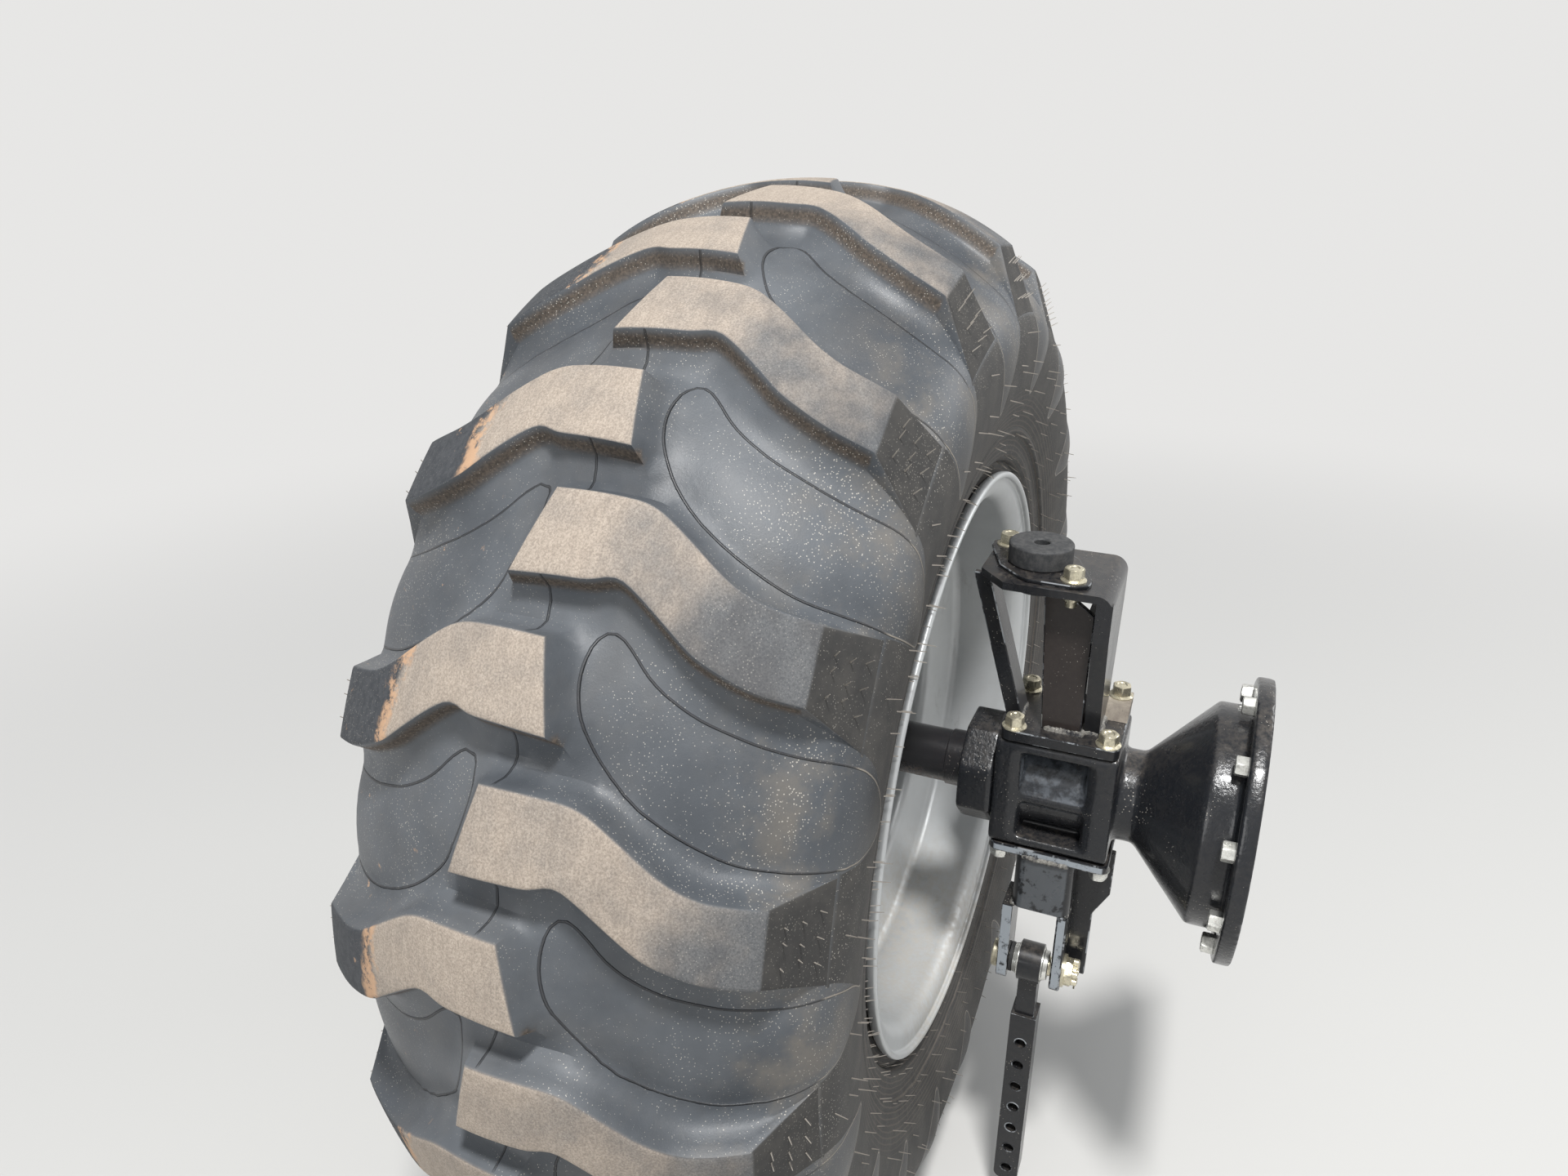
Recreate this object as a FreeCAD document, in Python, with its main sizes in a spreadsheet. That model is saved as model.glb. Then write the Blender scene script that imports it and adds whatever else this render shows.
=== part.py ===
"""Left rear wheel of a tractor on its axle: lugged tyre, rim, disc, axle shaft and axle housing,
with the pedestal and rubber mount bolted on top of the housing and the stabiliser bracket below it.

Millimetres.  +X is forward, +Y is outboard, +Z is up.  The origin is the centre of the housing's
inner flange face.  Every driving dimension is a cell of the sheet.
"""
import math
import os

import FreeCAD, Part
import Sketcher

doc = FreeCAD.newDocument("rear_wheel_unit")
sheet = doc.addObject("Spreadsheet::Sheet", "sizes")

SIZES = {
    # wheel and tyre
    "wheel_centre_y": 505.0,
    "tyre_radius": 620.0,
    "tyre_half_width": 222.5,
    "crown_radius": 341.0,
    "tread_depth": 29.0,
    "tread_wall": 24.0,
    "sidewall": 14.0,
    "shoulder_radius": 70.0,
    "lug_root": 6.0,
    "lug_draft": 11.0,
    "lug_foot_inset": 10.0,
    "lug_pairs": 18.0,
    "tyre_flats": 36.0,
    "rim_bead_radius": 304.8,
    "rim_flange_height": 25.2,
    "rim_half_width": 190.5,
    "rim_thickness": 7.0,
    "rim_seat_end": 108.0,
    "bead_clearance": 0.2,
    "bead_width": 28.0,
    "bead_lift": 8.0,
    "toe_lift": 10.0,
    "rim_well_depth": 40.8,
    "rim_well_half_width": 82.0,
    # disc and hub
    "disc_offset": 26.0,
    "disc_thickness": 12.0,
    "disc_bore_radius": 77.0,
    "disc_dish": 24.0,
    "disc_flat_margin": 14.0,
    "disc_slope": 40.0,
    "disc_bend_inset": 2.0,
    "hub_pilot_radius": 76.2,
    "hub_flange_radius": 128.0,
    "hub_flange_thickness": 22.0,
    "hub_nose": 30.0,
    "wheel_bolt_circle": 203.2,
    "wheel_bolt_count": 8.0,
    "wheel_bolt_hole": 19.0,
    # axle shaft
    "shaft_radius": 30.0,
    "shaft_step_radius": 46.0,
    "shaft_step_length": 44.0,
    "shaft_inner_end": 24.0,
    "collar_radius": 32.0,
    "collar_width": 21.0,
    "collar_gap": 1.0,
    "running_clearance": 0.05,
    # axle housing
    "flange_radius": 150.0,
    "flange_thickness": 17.0,
    "flange_bolt_circle": 264.0,
    "flange_bolt_count": 10.0,
    "flange_bolt_hole": 13.5,
    "housing_bore_radius": 40.0,
    "barrel_radius": 50.0,
    "bell_radius": 118.0,
    "bell_straight": 48.0,
    "bell_end": 112.0,
    "bell_wall": 11.0,
    "saddle_start": 134.0,
    "saddle_end": 262.0,
    "saddle_half_width": 57.0,
    "saddle_top": 70.0,
    "saddle_bottom": 62.0,
    "saddle_pad": 13.0,
    "pillar_width": 31.0,
    "pillar_round": 11.0,
    "ridge_height": 9.0,
    # bearing cap
    "cap_radius": 64.0,
    "cap_thickness": 38.0,
    # pedestal
    "plate_thickness": 12.0,
    "base_start": 136.0,
    "base_end": 258.0,
    "base_half_length": 57.0,
    "base_bolt_x": 90.0,
    "base_bolt_y": 97.0,
    "base_bolt_hole": 13.0,
    "block_length": 51.0,
    "block_width": 24.0,
    "block_height": 12.0,
    "block_slope": 14.0,
    "pedestal_top": 250.0,
    "pedestal_sheet": 8.0,
    "top_start": 160.0,
    "top_end": 297.0,
    "top_half_length": 60.0,
    "top_corner_x": 31.0,
    "top_corner_y": 29.0,
    "upright_taper": 30.0,
    "upright_taper_top": 200.0,
    "upright_return": 8.0,
    "bend_radius": 16.0,
    "corner_radius": 9.0,
    "web_start": 178.0,
    "web_end": 230.0,
    "web_taper": 11.0,
    "web_face_x": -38.0,
    "web_depth": 50.0,
    "web_notch_across": 34.0,
    "web_notch_down": 24.0,
    "brace_x": -24.0,
    "brace_width": 34.0,
    "brace_foot_y": 242.0,
    "brace_lean": 47.0,
    # rubber mount
    "mount_centre_y": 243.0,
    "mount_radius": 33.0,
    "mount_neck_radius": 28.0,
    "mount_clearance": 0.3,
    "mount_height": 22.0,
    "mount_flange": 4.0,
    "mount_flange_radius": 45.0,
    "mount_ear_x": 37.0,
    "mount_ear_y": 40.0,
    "mount_ear_radius": 16.0,
    "mount_bore_radius": 8.0,
    "mount_tail": 16.0,
    # stabiliser bracket
    "bracket_start": 131.0,
    "bracket_end": 259.0,
    "bracket_plate": 10.0,
    "channel_start": 165.0,
    "channel_end": 229.0,
    "channel_depth": 70.0,
    "channel_sheet": 8.0,
    "channel_bend": 12.0,
    "ear_thickness": 12.0,
    "ear_width": 44.0,
    "ear_overhang": 9.0,
    "ear_below_pin": 18.0,
    "gusset_sheet": 8.0,
    "gusset_reach": 38.0,
    "gusset_tail": 22.0,
    "gusset_shoulder": 56.0,
    "gusset_slope": 31.0,
    "pin_radius": 11.0,
    "pin_z": -231.0,
    "pin_clearance": 0.3,
    "pin_tail": 16.0,
    "pin_head_rise": 5.0,
    "pin_head_length": 8.0,
    # stabiliser bar
    "eye_radius": 23.0,
    "eye_width": 26.0,
    "ball_radius": 16.0,
    "collar_length": 7.0,
    "bar_width": 30.0,
    "bar_length": 345.0,
    "shank_length": 72.0,
    "shank_width": 22.0,
    "bar_hole_radius": 6.5,
    "bar_hole_pitch": 35.0,
    "bar_hole_end": 21.0,
    "bar_hole_count": 7.0,
}

for row, (alias, value) in enumerate(SIZES.items(), start=1):
    sheet.set(f"A{row}", alias)
    sheet.set(f"B{row}", str(value))
    sheet.setAlias(f"B{row}", alias)
doc.recompute()


class Length:
    """A size with its value now and the sheet expression that keeps it tied to the cells."""

    def __init__(self, value, text):
        self.value = value
        self.text = text

    def join(self, other, sign, swap=False):
        first, second = (as_length(other), self) if swap else (self, as_length(other))
        total = {
            "+": first.value + second.value,
            "-": first.value - second.value,
            "*": first.value * second.value,
        }[sign]
        return Length(total, f"({first.text} {sign} {second.text})")

    def __add__(self, other):
        return self.join(other, "+")

    def __radd__(self, other):
        return self.join(other, "+", swap=True)

    def __sub__(self, other):
        return self.join(other, "-")

    def __rsub__(self, other):
        return self.join(other, "-", swap=True)

    def __mul__(self, other):
        return self.join(other, "*")

    def __rmul__(self, other):
        return self.join(other, "*", swap=True)

    def __truediv__(self, number):
        return Length(self.value / number, f"({self.text} / {number})")

    def __neg__(self):
        return Length(-self.value, f"(-{self.text})")


def as_length(thing):
    return thing if isinstance(thing, Length) else Length(float(thing), repr(float(thing)))


def size(alias):
    return float(sheet.get(alias))


class Sizes:
    """Each cell of the sheet as an attribute."""

    def __getattr__(self, alias):
        if alias not in SIZES:
            raise AttributeError(alias)
        return Length(size(alias), "sizes." + alias)


d = Sizes()
BUILT = []
ON_SPOT = 0.01  # how near an edge lies to the spot that names it


def keep(thing, label):
    thing.Label = label
    BUILT.append(thing)
    return thing


def tie(thing, path, length):
    """Set one property of an object from the sheet."""
    thing.setExpression(path, as_length(length).text)


def new_body(label):
    return keep(doc.addObject("PartDesign::Body", label), label)


def new_sketch(body, role, lift=0):
    """A sketch on one of the body's origin planes, moved along its normal by lift."""
    drawn = body.newObject("Sketcher::SketchObject", body.Name + "_sketch")
    plane = next(f for f in body.Origin.OriginFeatures if f.Role == role)
    drawn.AttachmentSupport = [(plane, "")]
    drawn.MapMode = "FlatFace"
    tie(drawn, "AttachmentOffset.Base.z", lift)
    return drawn


def place_point(drawn, geometry, end, across, up):
    """Hold one point of the sketch at sizes from the origin."""
    for kind, axis, length in (("DistanceX", -2, across), ("DistanceY", -1, up)):
        length = as_length(length)
        if length.value == 0:
            drawn.addConstraint(Sketcher.Constraint("PointOnObject", geometry, end, axis))
            continue
        index = drawn.addConstraint(Sketcher.Constraint(kind, -1, 1, geometry, end, length.value))
        drawn.setExpression(f"Constraints[{index}]", length.text)


def outline(drawn, corners):
    """A closed run of straight edges through the corners."""
    first = drawn.GeometryCount
    count = len(corners)
    spots = [FreeCAD.Vector(as_length(a).value, as_length(b).value, 0) for a, b in corners]
    for n in range(count):
        drawn.addGeometry(Part.LineSegment(spots[n], spots[(n + 1) % count]), False)
    for n in range(count):
        drawn.addConstraint(
            Sketcher.Constraint("Coincident", first + n, 2, first + (n + 1) % count, 1)
        )
        place_point(drawn, first + n, 1, *corners[n])


def circle(drawn, across, up, radius):
    radius = as_length(radius)
    spot = FreeCAD.Vector(as_length(across).value, as_length(up).value, 0)
    index = drawn.addGeometry(Part.Circle(spot, FreeCAD.Vector(0, 0, 1), radius.value), False)
    place_point(drawn, index, 3, across, up)
    held = drawn.addConstraint(Sketcher.Constraint("Radius", index, radius.value))
    drawn.setExpression(f"Constraints[{held}]", radius.text)


def block(low, high):
    """The four corners of an upright rectangle."""
    return [(low[0], low[1]), (high[0], low[1]), (high[0], high[1]), (low[0], high[1])]


def revolve(body, drawn):
    turned = body.newObject("PartDesign::Revolution", body.Name + "_turned")
    turned.Profile = drawn
    turned.ReferenceAxis = (drawn, ["H_Axis"])
    turned.Angle = 360
    doc.recompute()
    return turned


def pad(body, drawn, length, both_ways=False):
    raised = body.newObject("PartDesign::Pad", body.Name + "_pad")
    raised.Profile = drawn
    tie(raised, "Length", length)
    raised.SideType = "Symmetric" if both_ways else "One side"
    doc.recompute()
    return raised


def pocket(body, drawn, length, both_ways=False, backwards=False):
    """Cut the sketch out of the body; the volume has to fall."""
    before = body.Shape.Volume
    hole = body.newObject("PartDesign::Pocket", body.Name + "_pocket")
    hole.Profile = drawn
    tie(hole, "Length", length)
    hole.SideType = "Symmetric" if both_ways else "One side"
    hole.Reversed = backwards
    doc.recompute()
    if body.Shape.Volume >= before:
        raise RuntimeError("nothing cut from " + body.Name)
    return hole


def ring_of(body, feature, count):
    """Repeat a feature about the Y axis."""
    pattern = body.newObject("PartDesign::PolarPattern", body.Name + "_ring")
    axis = next(f for f in body.Origin.OriginFeatures if f.Role == "Y_Axis")
    pattern.Originals = [feature]
    pattern.Axis = (axis, [""])
    pattern.Angle = 360
    tie(pattern, "Occurrences", count)
    body.Tip = pattern
    doc.recompute()
    return pattern


def edges_where(shape, test):
    """Names of the edges whose every sampled point passes the test."""
    names = []
    for n, edge in enumerate(shape.Edges, start=1):
        span = edge.LastParameter - edge.FirstParameter
        points = [edge.valueAt(edge.FirstParameter + span * k / 4) for k in range(5)]
        if all(test(p) for p in points):
            names.append(f"Edge{n}")
    return names


def round_edges(body, radius, across, up, spots):
    """Round the edges that run straight through the spots, given on two of the axes x, y and z."""
    places = [(as_length(a).value, as_length(b).value) for a, b in spots]
    base = body.Tip
    names = edges_where(base.Shape, lambda p: any(
        math.hypot(getattr(p, across) - a, getattr(p, up) - b) < ON_SPOT for a, b in places
    ))
    if not names:
        raise RuntimeError("no edge to round on " + body.Name)
    rounded = body.newObject("PartDesign::Fillet", body.Name + "_round")
    rounded.Base = (base, names)
    tie(rounded, "Radius", radius)
    doc.recompute()
    return rounded


def groove(body, drawn):
    """Turn the sketch about the Y axis and cut it out; the volume has to fall."""
    before = body.Shape.Volume
    cut = body.newObject("PartDesign::Groove", body.Name + "_groove")
    cut.Profile = drawn
    cut.ReferenceAxis = (drawn, ["H_Axis"])
    cut.Angle = 360
    doc.recompute()
    if body.Shape.Volume >= before:
        raise RuntimeError("nothing turned out of " + body.Name)
    return cut


# Rim: two flanges with rolled lips, tapered bead seats and a drop centre.
wheel_y = d.wheel_centre_y
lip = d.rim_thickness * 2
rim_flange_radius = d.rim_bead_radius + d.rim_flange_height
rim_well_radius = d.rim_bead_radius - d.rim_well_depth
half_outer = [
    (d.rim_half_width + lip, rim_flange_radius),
    (d.rim_half_width, rim_flange_radius),
    (d.rim_half_width, d.rim_bead_radius),
    (d.rim_seat_end, d.rim_bead_radius),
    (d.rim_well_half_width, rim_well_radius),
]
half_inner = [
    (d.rim_half_width + lip, rim_flange_radius - d.rim_thickness),
    (d.rim_half_width + d.rim_thickness, rim_flange_radius - d.rim_thickness),
    (d.rim_half_width + d.rim_thickness, d.rim_bead_radius - d.rim_thickness),
    (d.rim_seat_end, d.rim_bead_radius - d.rim_thickness),
    (d.rim_well_half_width, rim_well_radius - d.rim_thickness),
]
rim_corners = [(wheel_y - y, r) for y, r in half_outer]
rim_corners += [(wheel_y + y, r) for y, r in reversed(half_outer)]
rim_corners += [(wheel_y + y, r) for y, r in half_inner]
rim_corners += [(wheel_y - y, r) for y, r in reversed(half_inner)]
rim = new_body("rim")
rim_line = new_sketch(rim, "YZ_Plane")
outline(rim_line, rim_corners)
revolve(rim, rim_line)

# Disc: flat mounting face, dished ring and a lip welded inside the drop centre.
disc_face = wheel_y + d.disc_offset
disc_back = disc_face + d.disc_thickness
disc_flat = d.hub_flange_radius + d.disc_flat_margin
lip_inside = rim_well_radius - d.rim_thickness
wheel_disc = new_body("wheel_disc")
disc_line = new_sketch(wheel_disc, "YZ_Plane")
outline(disc_line, [
    (disc_face, d.disc_bore_radius),
    (disc_face, disc_flat),
    (disc_face + d.disc_dish, disc_flat + d.disc_slope),
    (disc_face + d.disc_dish, lip_inside),
    (disc_back + d.disc_dish, lip_inside),
    (disc_back + d.disc_dish, disc_flat + d.disc_slope - d.disc_bend_inset),
    (disc_back, disc_flat - d.disc_bend_inset),
    (disc_back, d.disc_bore_radius),
])
revolve(wheel_disc, disc_line)
disc_hole = new_sketch(wheel_disc, "XZ_Plane", -disc_back)
circle(disc_hole, 0, d.wheel_bolt_circle / 2, d.wheel_bolt_hole / 2)
disc_cut = pocket(wheel_disc, disc_hole, d.disc_thickness * 2, both_ways=True)
ring_of(wheel_disc, disc_cut, d.wheel_bolt_count)

# Axle shaft: one forging with its seal collar, hub flange and pilot nose.
flange_in = disc_face - d.hub_flange_thickness
collar_in = d.saddle_end + d.cap_thickness + d.collar_gap
axle_shaft = new_body("axle_shaft")
shaft_line = new_sketch(axle_shaft, "YZ_Plane")
outline(shaft_line, [
    (d.shaft_inner_end, 0),
    (d.shaft_inner_end, d.shaft_radius),
    (collar_in, d.shaft_radius),
    (collar_in, d.collar_radius),
    (collar_in + d.collar_width, d.collar_radius),
    (collar_in + d.collar_width, d.shaft_radius),
    (flange_in - d.shaft_step_length, d.shaft_radius),
    (flange_in - d.shaft_step_length, d.shaft_step_radius),
    (flange_in, d.shaft_step_radius),
    (flange_in, d.hub_flange_radius),
    (disc_face, d.hub_flange_radius),
    (disc_face, d.hub_pilot_radius),
    (disc_face + d.hub_nose, d.hub_pilot_radius),
    (disc_face + d.hub_nose, 0),
])
revolve(axle_shaft, shaft_line)

# Axle housing: flange, bell, barrel and the saddle that carries the pedestal and the bracket.
axle_housing = new_body("axle_housing")
housing_line = new_sketch(axle_housing, "YZ_Plane")
outline(housing_line, [
    (0, 0),
    (0, d.flange_radius),
    (d.flange_thickness, d.flange_radius),
    (d.flange_thickness, d.bell_radius),
    (d.bell_straight, d.bell_radius),
    (d.bell_end, d.barrel_radius),
    (d.saddle_end, d.barrel_radius),
    (d.saddle_end, 0),
])
revolve(axle_housing, housing_line)
half_x = d.saddle_half_width
for start, end, low, high, half in (
    (d.saddle_start, d.saddle_start + d.pillar_width, -d.saddle_bottom, d.saddle_top, half_x),
    (d.saddle_end - d.pillar_width, d.saddle_end, -d.saddle_bottom, d.saddle_top, half_x),
    (d.saddle_start, d.saddle_end, d.saddle_top - d.saddle_pad, d.saddle_top, half_x),
    (d.saddle_start, d.saddle_end, -d.saddle_bottom, -d.saddle_bottom + d.saddle_pad, half_x),
):
    plan = new_sketch(axle_housing, "XY_Plane", low)
    outline(plan, block((-half, start), (half, end)))
    pad(axle_housing, plan, high - low)
round_edges(axle_housing, d.pillar_round, "x", "y", [
    (half_x * side, y)
    for side in (-1, 1)
    for y in (d.saddle_start + d.pillar_width, d.saddle_end - d.pillar_width)
])
round_edges(axle_housing, d.corner_radius, "x", "z", [
    (half_x * side, height) for side in (-1, 1) for height in (d.saddle_top, -d.saddle_bottom)
])
ridge_x = d.barrel_radius + d.ridge_height / 2
ridge = new_sketch(axle_housing, "XY_Plane", -d.ridge_height / 2)
outline(ridge, block((-ridge_x, d.saddle_start), (ridge_x, d.saddle_end)))
pad(axle_housing, ridge, d.ridge_height)
inside = new_sketch(axle_housing, "YZ_Plane")
outline(inside, [
    (-1, 0),
    (-1, d.bell_radius - d.bell_wall),
    (d.bell_straight, d.bell_radius - d.bell_wall),
    (d.bell_straight, d.housing_bore_radius),
    (d.saddle_end + 1, d.housing_bore_radius),
    (d.saddle_end + 1, 0),
])
groove(axle_housing, inside)
flange_hole = new_sketch(axle_housing, "XZ_Plane", 0)
circle(flange_hole, 0, d.flange_bolt_circle / 2, d.flange_bolt_hole / 2)
flange_cut = pocket(axle_housing, flange_hole, d.flange_thickness * 3, both_ways=True)
ring_of(axle_housing, flange_cut, d.flange_bolt_count)

# Bearing cap: eight-sided cover on the outer end of the housing.
bearing_cap = new_body("bearing_cap")
cap_line = new_sketch(bearing_cap, "XZ_Plane", -d.saddle_end - d.cap_thickness)
to_flat = d.cap_radius * math.cos(math.pi / 8)
to_corner = d.cap_radius * math.sin(math.pi / 8)
outline(cap_line, [
    (to_flat, to_corner),
    (to_corner, to_flat),
    (-to_corner, to_flat),
    (-to_flat, to_corner),
    (-to_flat, -to_corner),
    (-to_corner, -to_flat),
    (to_corner, -to_flat),
    (to_flat, -to_corner),
])
circle(cap_line, 0, 0, d.shaft_radius + d.running_clearance)
pad(bearing_cap, cap_line, d.cap_thickness)
round_edges(bearing_cap, d.corner_radius, "x", "z", [
    spot
    for side in (-1, 1) for other in (-1, 1)
    for spot in ((to_flat * side, to_corner * other), (to_corner * side, to_flat * other))
])

# Pedestal: bolted base, bent top and side, channel web and a folded brace, welded together.
base_top = d.saddle_top + d.plate_thickness
base_mid = (d.base_start + d.base_end) / 2
pedestal_base = new_body("pedestal_base")
base_plan = new_sketch(pedestal_base, "XY_Plane", d.saddle_top)
outline(base_plan, block((-d.base_half_length, d.base_start), (d.base_half_length, d.base_end)))
pad(pedestal_base, base_plan, d.plate_thickness)
round_edges(pedestal_base, d.corner_radius, "x", "y", [
    (d.base_half_length * side, y) for side in (-1, 1) for y in (d.base_start, d.base_end)
])
base_holes = new_sketch(pedestal_base, "XY_Plane", base_top)
for side_x in (-1, 1):
    for side_y in (-1, 1):
        circle(
            base_holes,
            d.base_bolt_x / 2 * side_x,
            base_mid + d.base_bolt_y / 2 * side_y,
            d.base_bolt_hole / 2,
        )
pocket(pedestal_base, base_holes, d.plate_thickness)

# Sloped block that spreads the load of the base's front inner bolt.
saddle_block = new_body("saddle_block")
block_line = new_sketch(saddle_block, "XZ_Plane", -d.base_start - d.block_width)
outline(block_line, [
    (half_x - d.block_length, base_top),
    (half_x, base_top),
    (half_x, base_top + d.block_height),
    (half_x - d.block_length + d.block_slope, base_top + d.block_height),
])
pad(saddle_block, block_line, d.block_width)
block_hole = new_sketch(saddle_block, "XY_Plane", base_top + d.block_height)
circle(block_hole, d.base_bolt_x / 2, base_mid - d.base_bolt_y / 2, d.base_bolt_hole / 2)
pocket(saddle_block, block_hole, d.block_height)

top_under = d.pedestal_top - d.pedestal_sheet
pedestal_frame = new_body("pedestal_frame")
frame_line = new_sketch(pedestal_frame, "YZ_Plane")
outline(frame_line, [
    (d.top_start, base_top),
    (d.top_start, d.pedestal_top),
    (d.top_end, d.pedestal_top),
    (d.top_end, top_under),
    (d.top_start + d.pedestal_sheet, top_under),
    (d.top_start + d.pedestal_sheet, base_top),
])
pad(pedestal_frame, frame_line, d.top_half_length * 2, both_ways=True)
round_edges(pedestal_frame, d.bend_radius, "y", "z", [(d.top_start, d.pedestal_top)])
round_edges(pedestal_frame, d.bend_radius - d.pedestal_sheet, "y", "z", [
    (d.top_start + d.pedestal_sheet, top_under),
])
far = d.top_half_length
foot = far - d.upright_taper
upright_sides = new_sketch(pedestal_frame, "XZ_Plane")
for side in (-1, 1):
    outline(upright_sides, [
        (far * side, base_top),
        (far * side, d.upright_taper_top),
        (foot * side, base_top),
    ])
pocket(pedestal_frame, upright_sides, d.top_end * 2, both_ways=True)
return_edge = d.top_start + d.pedestal_sheet + d.upright_return
return_line = new_sketch(pedestal_frame, "XZ_Plane", -return_edge)
outline(return_line, [
    (-foot, base_top),
    (d.pedestal_sheet - foot, base_top),
    (d.pedestal_sheet - far, d.upright_taper_top),
    (d.pedestal_sheet - far, top_under),
    (-far, top_under),
    (-far, d.upright_taper_top),
])
pad(pedestal_frame, return_line, d.pedestal_sheet + d.upright_return)
top_corner = new_sketch(pedestal_frame, "XY_Plane", d.pedestal_top)
outline(top_corner, [
    (-far, d.top_end),
    (-far, d.top_end - d.top_corner_y),
    (d.top_corner_x - far, d.top_end),
])
pocket(pedestal_frame, top_corner, d.pedestal_sheet)
round_edges(pedestal_frame, d.corner_radius, "x", "y", [(far, d.top_end)])
mount_hole = new_sketch(pedestal_frame, "XY_Plane", d.pedestal_top)
circle(mount_hole, 0, d.mount_centre_y, d.mount_neck_radius + d.mount_clearance)
pocket(pedestal_frame, mount_hole, d.pedestal_sheet)

sheet_t = d.pedestal_sheet
pedestal_web = new_body("pedestal_web")
web_face = new_sketch(pedestal_web, "YZ_Plane", d.web_face_x)
outline(web_face, [
    (d.web_start, base_top),
    (d.web_end - d.web_taper, base_top),
    (d.web_end, top_under),
    (d.web_start + d.web_notch_across, top_under),
    (d.web_start, top_under - d.web_notch_down),
])
pad(pedestal_web, web_face, sheet_t)
web_side = new_sketch(pedestal_web, "XY_Plane", base_top)
outline(web_side, block(
    (d.web_face_x, d.web_start), (d.web_face_x + d.web_depth, d.web_start + sheet_t)
))
pad(pedestal_web, web_side, top_under - d.web_notch_down - base_top)

pedestal_brace = new_body("pedestal_brace")
for start_x, width_x, width_y in (
    (d.brace_x, d.pedestal_sheet, d.brace_width / 2),
    (d.brace_x, d.brace_width, d.pedestal_sheet),
):
    side_line = new_sketch(pedestal_brace, "YZ_Plane", start_x)
    outline(side_line, [
        (d.brace_foot_y, base_top),
        (d.brace_foot_y + width_y, base_top),
        (d.brace_foot_y + width_y + d.brace_lean, top_under),
        (d.brace_foot_y + d.brace_lean, top_under),
    ])
    pad(pedestal_brace, side_line, width_x)

# Rubber mount: oval steel flange with a rubber body through the top plate.
# Half its outline.  Columns: shares of the bolt's place, the ear's radius and the body's radius
# that make x, then the same that make y.
HALF_OVAL = (
    (-1, -1, 0, -1, -0.3, 0),
    (-1, -0.5, 0, -1, -1.1, 0),
    (-1, 0.4, 0, -1, -1.1, 0),
    (0, 0, 0.5, 0, 0, -0.82),
    (0, 0, 0.95, 0, 0, -0.38),
    (1, 0.95, 0, 0, 0, -0.1),
)
mount_flange = new_body("mount_flange")
half_oval = [
    (
        d.mount_ear_x * bolt_x + d.mount_ear_radius * round_x + d.mount_flange_radius * wide_x,
        d.mount_ear_y * bolt_y + d.mount_ear_radius * round_y + d.mount_flange_radius * wide_y,
    )
    for bolt_x, round_x, wide_x, bolt_y, round_y, wide_y in HALF_OVAL
]
oval = [(x * side, d.mount_centre_y + y * side) for side in (1, -1) for x, y in half_oval]
flange_plan = new_sketch(mount_flange, "XY_Plane", d.pedestal_top)
outline(flange_plan, oval)
pad(mount_flange, flange_plan, d.mount_flange)
round_edges(mount_flange, d.corner_radius, "x", "y", oval)
flange_bore = new_sketch(mount_flange, "XY_Plane", d.pedestal_top + d.mount_flange)
circle(flange_bore, 0, d.mount_centre_y, d.mount_neck_radius + d.mount_clearance)
pocket(mount_flange, flange_bore, d.mount_flange)

mount_rubber = new_body("mount_rubber")
for low, high, radius in (
    (top_under - d.mount_tail, d.pedestal_top + d.mount_flange + d.mount_height, d.mount_neck_radius),
    (d.pedestal_top + d.mount_flange, d.pedestal_top + d.mount_flange + d.mount_height,
     d.mount_radius),
):
    rubber_plan = new_sketch(mount_rubber, "XY_Plane", low)
    circle(rubber_plan, 0, d.mount_centre_y, radius)
    pad(mount_rubber, rubber_plan, high - low)
rubber_top = d.pedestal_top + d.mount_flange + d.mount_height
rubber_bore = new_sketch(mount_rubber, "XY_Plane", rubber_top)
circle(rubber_bore, 0, d.mount_centre_y, d.mount_bore_radius)
pocket(mount_rubber, rubber_bore, rubber_top - base_top)

# Stabiliser bracket: plate under the saddle, channel and two ears with the pin through them.
plate_low = -d.saddle_bottom - d.bracket_plate
bracket_plate = new_body("bracket_plate")
plate_plan = new_sketch(bracket_plate, "XY_Plane", plate_low)
outline(plate_plan, block((-half_x, d.bracket_start), (half_x, d.bracket_end)))
pad(bracket_plate, plate_plan, d.bracket_plate)
round_edges(bracket_plate, d.corner_radius, "x", "y", [
    (half_x * side, y) for side in (-1, 1) for y in (d.bracket_start, d.bracket_end)
])

bracket_channel = new_body("bracket_channel")
channel_low = plate_low - d.channel_depth
channel_plan = new_sketch(bracket_channel, "XY_Plane", channel_low)
outline(channel_plan, [
    (-half_x, d.channel_start),
    (-half_x + d.ear_width, d.channel_start),
    (-half_x + d.ear_width, d.channel_start + d.channel_sheet),
    (-half_x + d.channel_sheet, d.channel_start + d.channel_sheet),
    (-half_x + d.channel_sheet, d.channel_end - d.channel_sheet),
    (-half_x + d.ear_width, d.channel_end - d.channel_sheet),
    (-half_x + d.ear_width, d.channel_end),
    (-half_x, d.channel_end),
])
pad(bracket_channel, channel_plan, d.channel_depth)
round_edges(bracket_channel, d.channel_bend, "x", "y", [
    (-half_x, d.channel_start), (-half_x, d.channel_end),
])
round_edges(bracket_channel, d.channel_bend - d.channel_sheet, "x", "y", [
    (-half_x + d.channel_sheet, d.channel_start + d.channel_sheet),
    (-half_x + d.channel_sheet, d.channel_end - d.channel_sheet),
])

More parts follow.
